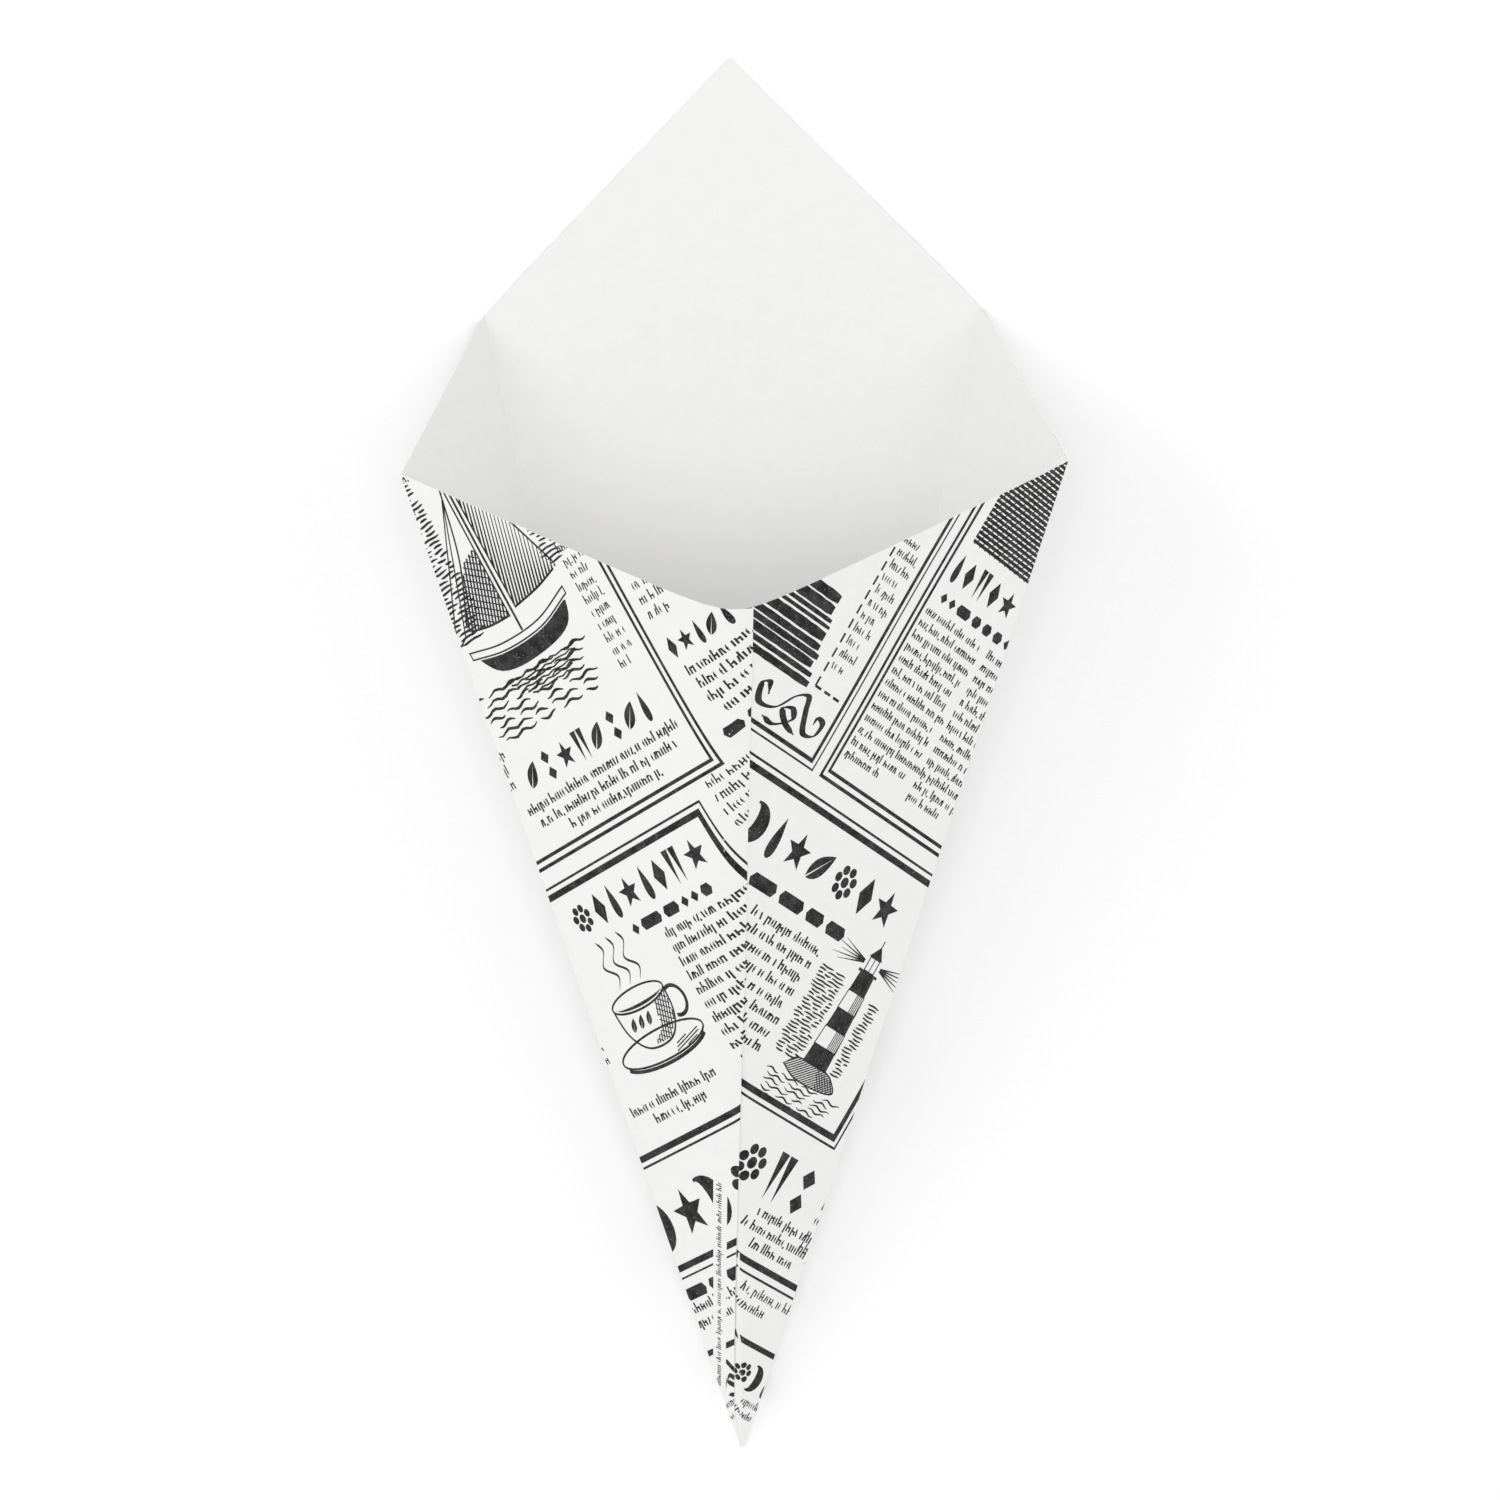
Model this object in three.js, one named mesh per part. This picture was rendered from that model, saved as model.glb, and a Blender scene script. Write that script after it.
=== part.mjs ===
// Paper cone bag: one sheet folded and glued into a cone, opened and lying on its flat back panel.
// Millimetres, +Z up. +Y runs from the closed tip to the pointed top of the back panel.
//
// A folded cone is developable: a point of the flat sheet at distance r from the tip, along the
// ray at flat angle p from the middle of the back, lands at r times a unit direction. All those
// directions make one closed curve round the cone, the section. Distances on the sheet are kept,
// so the creases, the mouth and the glued seam are given as they lie on the flat sheet.

import * as THREE from 'three';

// The flat sheet, in millimetres and degrees
const sheetLength = 292; // tip to the point at the top of the back
const paperThickness = 0.2;
const backHalfAngle = 12.3; // middle of the back to a shoulder crease
const quarterAngle = 24.45; // middle of the back to a side crease, and side crease to the ridge
const pointHalfAngle = 44.35; // half the corner at the top of the back
const cutSkew = 0.3; // the mouth was cut this much off square to the creases
const frontLength = 197.4; // tip to the bottom of the V in the front

// The glued seam down the front, where the left flap lies over the right one. Offsets are from
// the ridge, right positive, at the bottom of the V and carried on down to the tip.
const seamTopOffset = 3.9;
const seamTipOffset = -2.4;
const lapTopWidth = 13;
const lapTipWidth = 1;
const lapRampShare = 0.3; // share of the left flap over which it comes down off the right one

// How far the bag has been opened
const sideRise = 60.5; // the side panels stand up from the plane of the back by this
const ridgeSoftness = 0.2; // 0 is a sharp fold along the front, larger is rounder

// The tip, where the layers are pressed together with no room between them
const seamEdgeRoom = 8; // the panels part where the covered edge is this many degrees off a crease
const tipBluntness = 0.5;

// How finely the bent flaps are drawn
const flapColumns = 14;
const lapColumns = 6;
const rampColumns = 3;
const crowdAtRidge = 1.6; // above 1, the lines stand closer together near the ridge
const rowCount = 10;
const sharedRowsShare = 0.93; // rows run parallel up to this share of the front's length

const paperColour = 0xf2f1ee;
const paperRoughness = 0.75;

const { degToRad, lerp, smoothstep } = THREE.MathUtils;
const backHalf = degToRad(backHalfAngle);
const quarter = degToRad(quarterAngle);
const ridge = 2 * quarter;
const fullTurn = 4 * quarter;

// Directions of the right shoulder crease and side crease, from the tip
const shoulderCrease = new THREE.Vector3(Math.sin(backHalf), Math.cos(backHalf), 0);
const acrossSidePanel = new THREE.Vector3(Math.cos(backHalf), -Math.sin(backHalf), 0)
  .multiplyScalar(Math.cos(degToRad(sideRise)))
  .setZ(Math.sin(degToRad(sideRise)));
const sideCrease = shoulderCrease
  .clone()
  .multiplyScalar(Math.cos(quarter - backHalf))
  .addScaledVector(acrossSidePanel, Math.sin(quarter - backHalf));

// Share of the way from the ridge to a side crease, with the corner at the ridge made round
function softShare(across) {
  const soften = (x) => Math.hypot(x, ridgeSoftness) - ridgeSoftness;
  return soften(across) / soften(1);
}

// Direction of the front at a place across it: -1 left side crease, 0 ridge, 1 right side crease
function frontDirection(across, elevation) {
  const direction = new THREE.Vector3(0, Math.cos(elevation), Math.sin(elevation));
  direction.lerp(sideCrease, softShare(across));
  return direction.setX(sideCrease.x * across).normalize();
}

// Flat angles from the ridge to places across the front, for a ridge at some elevation
function measureFront(elevation, steps = 160) {
  const table = [{ angle: 0, across: 0 }];
  for (let i = 1; i <= steps; i += 1) {
    const across = i / steps;
    const last = table.at(-1);
    const turn = frontDirection(last.across, elevation).angleTo(frontDirection(across, elevation));
    table.push({ angle: last.angle + turn, across });
  }
  return table;
}

// The ridge stands as high as the paper between the side creases lets it
function findRidgeElevation() {
  let low = Math.atan2(sideCrease.z, sideCrease.y);
  let high = low + quarter;
  for (let i = 0; i < 40; i += 1) {
    const middle = (low + high) / 2;
    if (measureFront(middle).at(-1).angle < quarter) low = middle;
    else high = middle;
  }
  return (low + high) / 2;
}
const ridgeElevation = findRidgeElevation();
const frontTable = measureFront(ridgeElevation);

// Place across the front at a flat angle from the ridge
function acrossAt(angle) {
  const size = Math.min(Math.abs(angle), frontTable.at(-1).angle);
  const next = Math.max(1, frontTable.findIndex((entry) => entry.angle >= size));
  const [a, b] = [frontTable[next - 1], frontTable[next]];
  return Math.sign(angle) * lerp(a.across, b.across, (size - a.angle) / (b.angle - a.angle));
}

// Direction of the section at turn w: the flat angle from the middle of the back, counted all the
// way round by the right side crease, the ridge and the left side crease
function sectionDirection(w) {
  const turn = THREE.MathUtils.euclideanModulo(w, fullTurn);
  const onLeft = turn > ridge;
  const angle = onLeft ? fullTurn - turn : turn;
  const direction = new THREE.Vector3();
  if (angle <= backHalf) {
    direction.set(Math.sin(angle), Math.cos(angle), 0);
  } else if (angle <= quarter) {
    direction.addScaledVector(shoulderCrease, Math.cos(angle - backHalf));
    direction.addScaledVector(acrossSidePanel, Math.sin(angle - backHalf));
  } else {
    direction.copy(frontDirection(acrossAt(ridge - angle), ridgeElevation));
  }
  return direction.setX(onLeft ? -direction.x : direction.x);
}

// Moving a point by this moves the outer face on both sides of it out by one
function outwardAt(w) {
  const reach = 0.002;
  const here = sectionDirection(w);
  const before = sectionDirection(w - reach).cross(here).normalize();
  const after = here.clone().cross(sectionDirection(w + reach)).normalize();
  return before.clone().add(after).divideScalar(1 + before.dot(after));
}

// Turn at distance r from the tip of a straight line that runs down the front
const lineDownFront = (tipOffset, topOffset) => (r) =>
  ridge - lerp(tipOffset, topOffset, r / frontLength) / r;
const freeEdge = lineDownFront(seamTipOffset, seamTopOffset);
const coveredEdge = lineDownFront(seamTipOffset - lapTipWidth, seamTopOffset - lapTopWidth);
const leftCorner = () => fullTurn - quarter;
const rampEnd = (r) => lerp(coveredEdge(r), leftCorner(), lapRampShare);

// The panels start where the covered edge comes clear of the left side crease
const coveredSlope = (seamTopOffset - lapTopWidth - seamTipOffset + lapTipWidth) / frontLength;
const panelStart =
  (lapTipWidth - seamTipOffset) / (quarter - degToRad(seamEdgeRoom) + coveredSlope);

const flatPoint = (r, p) => new THREE.Vector2(r * Math.sin(p), r * Math.cos(p));

// Distance from the tip, along the ray at flat angle p, to the straight line through two points
function rayToLine(from, to, p) {
  const along = to.clone().sub(from);
  const normal = new THREE.Vector2(-along.y, along.x);
  return normal.dot(from) / normal.dot(flatPoint(1, p));
}

// Length of the paper at turn w: each side has a straight cut from the point of the back to the
// side crease, and a straight cut from there to the bottom of the V at the seam
function mouthRadius(w) {
  const seam = freeEdge(frontLength);
  const onLeft = w > seam;
  const p = onLeft ? fullTurn - w : w;
  const halfAngle = degToRad(onLeft ? pointHalfAngle - cutSkew : pointHalfAngle + cutSkew);
  const point = flatPoint(sheetLength, 0);
  const beyond = point.clone().add(new THREE.Vector2(Math.sin(halfAngle), -Math.cos(halfAngle)));
  if (p <= quarter) return rayToLine(point, beyond, p);
  const corner = flatPoint(rayToLine(point, beyond, quarter), quarter);
  return rayToLine(corner, flatPoint(frontLength, onLeft ? fullTurn - seam : seam), p);
}

// Length of a line of the sheet, from the tip to the mouth
function mouthLength(line) {
  let r = frontLength;
  for (let i = 0; i < 30; i += 1) r = mouthRadius(line(r));
  return r;
}

// Lines between two lines, the second one included, closer together towards the crowded end
function spread(from, to, count, crowding = 1) {
  return Array.from({ length: count }, (_, i) => {
    const share = (i + 1) / count;
    const placed = crowding > 0 ? 1 - (1 - share) ** crowding : share ** -crowding;
    return (r) => lerp(from(r), to(r), placed);
  });
}

// The lines of the sheet all the way round, from the middle of the back by the right. A line gives
// the turn for a distance from the tip, so that it may pass the tip by, as the seam does. With it
// go the heights of the paper's outer and inner face off the section. A line where a layer ends
// has two heights on that face, in the order in which they come round.
function sheetLines() {
  const t = paperThickness;
  const rightCorner = () => quarter;
  const single = (line) => ({ line, outer: [0], inner: [-t] });
  const lapped = (line) => ({ line, outer: [t], inner: [-t] });
  const rightSide = [() => 0, () => backHalf, rightCorner].map(single);
  const rightFlap = spread(rightCorner, freeEdge, flapColumns, crowdAtRidge).map(single);
  const lap = spread(freeEdge, coveredEdge, lapColumns).map(lapped);
  const ramp = spread(coveredEdge, rampEnd, rampColumns).map((line, i) => {
    const height = t * (1 - smoothstep((i + 1) / rampColumns, 0, 1));
    return { line, outer: [height], inner: [height - t] };
  });
  const leftFlap = spread(rampEnd, leftCorner, flapColumns, -crowdAtRidge).map(single);
  const leftSide = [() => fullTurn - backHalf].map(single);
  rightFlap.at(-1).outer = [0, t];
  lap.at(-1).inner = [-t, 0];
  return [...rightSide, ...rightFlap, ...lap, ...ramp, ...leftFlap, ...leftSide];
}

// Rows grow in step with their distance from the tip, and the last one is the mouth
function rowRadius(row, line) {
  if (row === rowCount) return mouthLength(line);
  const growth = (sharedRowsShare * frontLength) / panelStart;
  return panelStart * growth ** (row / (rowCount - 1));
}

// The closed skin of the bag: the outer face, down to the tip, the inner face, closed where the
// layers are pressed together, and the cut edge of the paper round the mouth
function foldSheet() {
  const lines = sheetLines();
  const points = [];
  const faces = [];
  const placePoint = (line, height, row) => {
    const r = rowRadius(row, line);
    const w = line(r);
    const place = sectionDirection(w).multiplyScalar(r).addScaledVector(outwardAt(w), height);
    return points.push(place) - 1;
  };
  const loopAt = (row, face) =>
    lines.map(({ line, [face]: heights }) => heights.map((height) => placePoint(line, height, row)));
  const around = (loop, use) => loop.forEach((index, i) => use(index, loop[(i + 1) % loop.length]));
  const rowsOf = (face) => Array.from({ length: rowCount + 1 }, (_, row) => loopAt(row, face));
  const outerRows = rowsOf('outer');
  const innerRows = rowsOf('inner');

  const end = points.push(sectionDirection(0).multiplyScalar(tipBluntness)) - 1;
  const floor = new THREE.Vector3();
  const floorLoop = innerRows[0].flat();
  floorLoop.forEach((index) => floor.addScaledVector(points[index], 1 / floorLoop.length));
  const heart = points.push(floor) - 1;
  around(outerRows[0].flat(), (a, b) => faces.push([end, a, b]));
  around(floorLoop, (a, b) => faces.push([heart, b, a]));

  for (let row = 0; row < rowCount; row += 1) {
    const skin = (rows, addSquare) => {
      const [low, high] = [rows[row].flat(), rows[row + 1].flat()];
      low.forEach((a, i) => {
        const next = (i + 1) % low.length;
        addSquare(a, low[next], high[next], high[i]);
      });
    };
    skin(outerRows, (a, b, c, d) => faces.push([a, c, b], [a, d, c]));
    skin(innerRows, (a, b, c, d) => faces.push([a, b, c], [a, c, d]));
  }

  const [outerMouth, innerMouth] = [outerRows[rowCount], innerRows[rowCount]];
  lines.forEach((_, i) => {
    const next = (i + 1) % lines.length;
    const [outer, inner] = [outerMouth[i], innerMouth[i]];
    const [nextOuter, nextInner] = [outerMouth[next][0], innerMouth[next][0]];
    if (outer.length > 1) faces.push([inner[0], outer[1], outer[0]]);
    if (inner.length > 1) faces.push([outer[0], inner[0], inner[1]]);
    faces.push([outer.at(-1), nextInner, nextOuter], [outer.at(-1), inner.at(-1), nextInner]);
  });
  return new THREE.BufferGeometry().setFromPoints(points).setIndex(faces.flat());
}

const folded = foldSheet();

// The origin is under the middle of the bag, on the face it lies on
folded.computeBoundingBox();
const middle = folded.boundingBox.getCenter(new THREE.Vector3());

const paper = new THREE.MeshStandardMaterial({
  name: 'paper',
  color: paperColour,
  roughness: paperRoughness,
  metalness: 0,
});
const bag = new THREE.Mesh(folded, paper);
bag.name = 'paper_cone';
bag.position.set(-middle.x, -middle.y, -folded.boundingBox.min.z);

const part = new THREE.Group();
part.add(bag);

export default part;
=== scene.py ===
"""Paper cone bag: one printed sheet folded and glued into a cone, opened and lying on its back.

The sheet and its print are both drawn flat, in millimetres, and both are folded by the same map,
so the print lies on the paper as ink does. Turn is the flat angle from the middle of the back,
counted round by the right side crease, the ridge down the front and the left side crease.
"""
import functools
import math
import random

import bmesh
import bpy
import numpy as np
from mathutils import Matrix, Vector
from mathutils.geometry import tessellate_polygon


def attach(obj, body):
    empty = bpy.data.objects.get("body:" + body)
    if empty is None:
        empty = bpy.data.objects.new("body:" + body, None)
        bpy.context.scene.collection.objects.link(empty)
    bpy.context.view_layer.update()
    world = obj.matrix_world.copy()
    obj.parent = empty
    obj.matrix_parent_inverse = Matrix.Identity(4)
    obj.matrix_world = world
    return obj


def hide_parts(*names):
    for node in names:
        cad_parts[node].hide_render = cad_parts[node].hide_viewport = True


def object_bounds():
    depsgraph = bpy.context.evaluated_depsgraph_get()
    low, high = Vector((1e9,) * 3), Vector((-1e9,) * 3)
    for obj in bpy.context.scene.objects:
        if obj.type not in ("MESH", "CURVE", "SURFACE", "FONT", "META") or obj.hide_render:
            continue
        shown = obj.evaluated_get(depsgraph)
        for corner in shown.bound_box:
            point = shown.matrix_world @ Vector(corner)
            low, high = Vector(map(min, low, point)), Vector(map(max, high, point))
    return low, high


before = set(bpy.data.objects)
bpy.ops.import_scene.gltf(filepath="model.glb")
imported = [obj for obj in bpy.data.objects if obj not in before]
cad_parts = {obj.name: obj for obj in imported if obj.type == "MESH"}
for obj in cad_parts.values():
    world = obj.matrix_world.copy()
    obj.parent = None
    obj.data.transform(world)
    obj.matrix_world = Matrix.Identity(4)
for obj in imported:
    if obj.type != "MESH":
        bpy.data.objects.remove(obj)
cad_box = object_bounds()

MM = 0.001

# The flat sheet, in millimetres and radians, as in the part's source
SHEET_LENGTH = 292.0
FRONT_LENGTH = 196.8
BACK_HALF = math.radians(12.3)
QUARTER = math.radians(24.45)
RIDGE = 2 * QUARTER
FULL_TURN = 4 * QUARTER
POINT_HALF_ANGLE = math.radians(44.35)
CUT_SKEW = math.radians(0.3)
SEAM_TOP_OFFSET = 3.9
SEAM_TIP_OFFSET = -2.4
LAP_TOP_WIDTH = 13.0
LAP_TIP_WIDTH = 1.0
LAP_RAMP_SHARE = 0.3
SIDE_RISE = math.radians(60.5)
RIDGE_SOFTNESS = 0.1

# The paper as it really is, and how the glued flaps lie
PAPER_THICKNESS = 0.1
GLUE_GAP = 0.02
FREE_EDGE_LIFT = 0.3
FREE_EDGE_SPRING = 1.8
TIP_START = 1.5
SEAM_PINCH = 9.0
WAVE_HEIGHT = 0.16
FLOOR_CLEARANCE = 0.05

# The print, drawn flat on two pages, one for each half of the sheet
INK_RISE = 0.03
INK_SINK = 0.012
LINE_PITCH = 3.26
STEP = 2.0
BEND_STEP = 3.0
LEFT_PAGE_TURN = math.radians(40)
RIGHT_PAGE_TURN = math.radians(-43)
PRINT_START = 7.0
UNDERLAP = 3.0
BARE_STRIP_START = 2.4
BARE_STRIP_END = 6.2
BARE_STRIP_LENGTH = 68.0
STRIP_PAGE_TURN = math.atan2(FRONT_LENGTH, SEAM_TOP_OFFSET - SEAM_TIP_OFFSET)
RIDGE_CUTS = (0.0, 0.6, 1.3, 2.2, 3.4, 5.0, 7.0, 10.0)
SEAM_CUTS = (0.6, 1.2, 1.8, BARE_STRIP_START, 3.4, BARE_STRIP_END)

# The photograph: square frame, camera straight above the bag
PHOTO_WIDTH = 1500
CAMERA_HEIGHT = 1.35
CAMERA_POINT = (0.00267, 0.00069)
CAMERA_TURN = math.radians(-0.54)
FLOOR_SCALE = 0.2092 * MM
SENSOR_WIDTH = 36.0
WORLD_LIGHT = 0.71
LAMPS = (
    ("overhead", 1.0, 5.0, (0.0, 0.1, 1.7)),
    ("window", 0.9, 6.0, (-1.3, 0.35, 1.0)),
    ("fill", 0.9, 4.0, (1.3, 0.25, 1.0)),
)


def side_crease_direction():
    shoulder = np.array([math.sin(BACK_HALF), math.cos(BACK_HALF), 0])
    across = np.array([
        math.cos(BACK_HALF) * math.cos(SIDE_RISE),
        -math.sin(BACK_HALF) * math.cos(SIDE_RISE),
        math.sin(SIDE_RISE),
    ])
    swing = QUARTER - BACK_HALF
    return shoulder, across, shoulder * math.cos(swing) + across * math.sin(swing)


SHOULDER, ACROSS_SIDE, SIDE_CREASE = side_crease_direction()


def unit(vectors):
    return vectors / np.linalg.norm(vectors, axis=-1, keepdims=True)


def front_direction(across, elevation):
    """Directions of the front: across is -1 at the left crease, 0 at the ridge, 1 at the right."""
    across = np.atleast_1d(np.asarray(across, float))
    soft = (np.hypot(across, RIDGE_SOFTNESS) - RIDGE_SOFTNESS)
    share = soft / (math.hypot(1, RIDGE_SOFTNESS) - RIDGE_SOFTNESS)
    top = np.array([0, math.cos(elevation), math.sin(elevation)])
    direction = top + (SIDE_CREASE - top) * share[:, None]
    direction[:, 0] = SIDE_CREASE[0] * across
    return unit(direction)


def front_angles(elevation, steps=640):
    across = np.linspace(0, 1, steps + 1)
    direction = front_direction(across, elevation)
    turns = np.arccos(np.clip((direction[1:] * direction[:-1]).sum(1), -1, 1))
    return np.concatenate([[0], np.cumsum(turns)]), across


def ridge_elevation():
    """The ridge stands as high as the paper between the side creases lets it."""
    low = math.atan2(SIDE_CREASE[2], SIDE_CREASE[1])
    high = low + QUARTER
    for _ in range(40):
        middle = (low + high) / 2
        if front_angles(middle)[0][-1] < QUARTER:
            low = middle
        else:
            high = middle
    return (low + high) / 2


RIDGE_ELEVATION = ridge_elevation()
FRONT_ANGLES, FRONT_ACROSS = front_angles(RIDGE_ELEVATION)


def section(turn):
    """Unit directions from the tip at these turns."""
    turn = np.mod(np.asarray(turn, float), FULL_TURN)
    on_left = turn > RIDGE
    angle = np.where(on_left, FULL_TURN - turn, turn)
    back = np.stack([np.sin(angle), np.cos(angle), np.zeros_like(angle)], -1)
    swing = (angle - BACK_HALF)[..., None]
    side = SHOULDER * np.cos(swing) + ACROSS_SIDE * np.sin(swing)
    across = np.interp(RIDGE - angle, FRONT_ANGLES, FRONT_ACROSS)
    front = front_direction(across.ravel(), RIDGE_ELEVATION).reshape(back.shape)
    on_back = (angle <= BACK_HALF)[..., None]
    on_side = (angle <= QUARTER)[..., None]
    direction = np.where(on_back, back, np.where(on_side, side, front))
    direction[..., 0] *= np.where(on_left, -1, 1)
    return direction


def outward(turn):
    """Moving a point by this moves the outer face on both sides of it out by one."""
    reach = 0.002
    here = section(turn)
    before = unit(np.cross(section(turn - reach), here))
    after = unit(np.cross(here, section(turn + reach)))
    return (before + after) / (1 + (before * after).sum(-1, keepdims=True))


def seam_turn(tip_offset, top_offset, r):
    """Turn of a line down the front, held at its last turn where it would pass the tip by."""
    held = np.maximum(r, SEAM_PINCH)
    offset = tip_offset + (top_offset - tip_offset) * held / FRONT_LENGTH
    return RIDGE - offset / held


def free_edge(r):
    return seam_turn(SEAM_TIP_OFFSET, SEAM_TOP_OFFSET, r)


def covered_edge(r):
    return seam_turn(SEAM_TIP_OFFSET - LAP_TIP_WIDTH, SEAM_TOP_OFFSET - LAP_TOP_WIDTH, r)


def smooth(x):
    x = np.clip(x, 0, 1)
    return x * x * (3 - 2 * x)


def waviness(turn, r):
    """Slight unevenness of the panels, none at the creases that carry the bag, never downwards."""
    lean = np.mod(turn, FULL_TURN)
    angle = np.minimum(lean, FULL_TURN - lean)
    phase = 2 * math.pi * turn / FULL_TURN
    wave = (
        np.sin(r / 17.0 + 1.6 * np.sin(phase))
        + 0.7 * np.sin(r / 9.5 - 2 * phase + 1.3)
        + 0.5 * np.sin(r / 31.0 + phase + 0.4)
    )
    clear = np.minimum(np.abs(angle - BACK_HALF), np.abs(angle - QUARTER)) * r / 9.0
    grown = smooth((r - 12) / 60)
    on_back = angle < BACK_HALF
    lift = np.where(on_back, -0.5 * (wave + 2.2), wave)
    return WAVE_HEIGHT * lift * grown * smooth(clear)


def left_height(turn, r):
    """Height of the left flap's outer face, where it lies over the right flap and comes down."""
    turn = np.mod(turn, FULL_TURN)
    covered = covered_edge(r)
    ramp_end = covered + (FULL_TURN - QUARTER - covered) * LAP_RAMP_SHARE
    ramp = 1 - smooth((turn - covered) / (ramp_end - covered))
    on_front = (turn > QUARTER) & (turn < FULL_TURN - QUARTER)
    from_edge = np.maximum(turn - free_edge(r), 0) * r
    spring = 0.65 + 0.35 * np.sin(r / 14.0 + 0.6)
    lift = FREE_EDGE_LIFT * spring * np.exp(-((from_edge / FREE_EDGE_SPRING) ** 2))
    lift *= smooth((r - 12) / 30)
    return np.where(on_front, ramp * (PAPER_THICKNESS + GLUE_GAP) + lift, 0)


def fold(turn, r, on_left, height=0.0):
    """Places of points of the flat sheet once it is folded, in millimetres from the tip."""
    out = outward(turn)
    layer = np.where(on_left, left_height(turn, r), 0)
    return section(turn) * r[..., None] + out * (layer + waviness(turn, r) + height)[..., None]


def flat_point(r, p):
    return np.array([r * math.sin(p), r * math.cos(p)])


def ray_to_line(start, end, p):
    along = end - start
    normal = np.array([-along[1], along[0]])
    return normal @ start / (normal[0] * np.sin(p) + normal[1] * np.cos(p))


def mouth_radius(turn, on_left):
    """Length of the paper at these turns, for one of its two sides."""
    seam = RIDGE - SEAM_TOP_OFFSET / FRONT_LENGTH
    p = FULL_TURN - turn if on_left else turn
    half_angle = POINT_HALF_ANGLE + (-CUT_SKEW if on_left else CUT_SKEW)
    point = flat_point(SHEET_LENGTH, 0)
    beyond = point + np.array([math.sin(half_angle), -math.cos(half_angle)])
    corner = flat_point(ray_to_line(point, beyond, QUARTER), QUARTER)
    bottom = flat_point(FRONT_LENGTH, FULL_TURN - seam if on_left else seam)
    return np.where(p <= QUARTER, ray_to_line(point, beyond, p), ray_to_line(corner, bottom, p))


def crowded(count, strength):
    """Shares from 0 to 1, closer together towards 1."""
    share = np.linspace(0, 1, count + 1)
    return 1 - (1 - share) ** strength


def column_turns(r, on_left):
    """Turns of one half of the sheet at distances r, from the middle of the back to its edge."""
    edge = free_edge(r) if on_left else covered_edge(r)
    size = FULL_TURN - edge if on_left else edge
    back = np.linspace(0, BACK_HALF, 9)[:-1]
    side = np.linspace(BACK_HALF, QUARTER, 9)[:-1]
    share = crowded(64, 1.9)
    fixed = np.concatenate([back, side])
    front = QUARTER + (size[:, None] - QUARTER) * share
    half = np.concatenate([np.broadcast_to(fixed, (len(r), len(fixed))), front], 1)
    return FULL_TURN - half if on_left else half


def half_rows(on_left, rows):
    """Turns and distances of a grid of points over one half of the sheet."""
    shared = np.geomspace(TIP_START, FRONT_LENGTH * 0.9, rows + 1)
    fine = np.linspace(TIP_START, FRONT_LENGTH * 0.9, rows + 1)
    radii = 0.25 * shared + 0.75 * fine
    turns = column_turns(radii, on_left)
    distances = np.broadcast_to(radii[:, None], turns.shape).copy()
    top_rows = 14
    last_turn, last_radius = turns[-1], distances[-1]
    mouth = last_radius.copy()
    for _ in range(30):
        guess = np.array([column_turns(mouth[i:i + 1], on_left)[0, i] for i in range(len(mouth))])
        mouth = mouth_radius(guess, on_left)
    for k in range(1, top_rows + 1):
        radius = last_radius + (mouth - last_radius) * k / top_rows
        turn = np.array([column_turns(radius[i:i + 1], on_left)[0, i] for i in range(len(radius))])
        turns = np.vstack([turns, turn])
        distances = np.vstack([distances, radius])
    return turns, distances


def sheet_grid():
    """Folded places and flat places of the sheet's grid, from its covered edge to its free edge."""
    halves = []
    for on_left in (True, False):
        turns, radii = half_rows(on_left, 60)
        folded = fold(turns, radii, on_left)
        from_middle = turns - FULL_TURN if on_left else turns
        flat = np.stack([radii * np.sin(from_middle), radii * np.cos(from_middle)], -1)
        halves.append(np.concatenate([folded, flat], -1))
    left, right = halves
    return np.concatenate([right[:, ::-1], left[:, 1:]], 1)


def part_shift(points, box):
    """What brings the folded sheet, drawn from its tip, to its place in the part, in millimetres."""
    low, high = box
    middle = (points[..., 0].min() + points[..., 0].max()) / 2
    return np.array([
        (low.x + high.x) / 2 / MM - middle,
        high.y / MM - points[..., 1].max(),
        low.z / MM + FLOOR_CLEARANCE,
    ])


def make_sheet(grid, shift, materials):
    """The sheet as a grid of points, each moved to where the folding puts it, then thickened."""
    rows, columns = grid.shape[:2]
    bpy.ops.object.select_all(action="DESELECT")
    bpy.ops.mesh.primitive_grid_add(x_subdivisions=columns - 1, y_subdivisions=rows - 1, size=1)
    sheet = bpy.context.object
    sheet.name = "folded_sheet"
    mesh = sheet.data
    places = np.empty(len(mesh.vertices) * 3)
    mesh.vertices.foreach_get("co", places)
    places = places.reshape(-1, 3)
    column = np.rint((places[:, 0] + 0.5) * (columns - 1)).astype(int)
    row = np.rint((places[:, 1] + 0.5) * (rows - 1)).astype(int)
    mesh.vertices.foreach_set("co", ((grid[row, column, :3] + shift) * MM).ravel())
    corners = np.empty(len(mesh.loops), int)
    mesh.loops.foreach_get("vertex_index", corners)
    flat = grid[row, column, 3:][corners] * MM
    mesh.uv_layers.active.name = "flat_sheet"
    mesh.uv_layers.active.data.foreach_set("uv", flat.ravel())
    mesh.update()
    for material in materials:
        mesh.materials.append(material)
    thickness = sheet.modifiers.new("thickness", "SOLIDIFY")
    thickness.thickness = PAPER_THICKNESS * MM
    thickness.offset = -1
    thickness.use_even_offset = True
    thickness.material_offset = 1
    thickness.material_offset_rim = 2
    bpy.ops.object.modifier_apply(modifier=thickness.name)
    bpy.ops.object.shade_smooth_by_angle(angle=math.radians(25))
    return sheet




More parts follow.
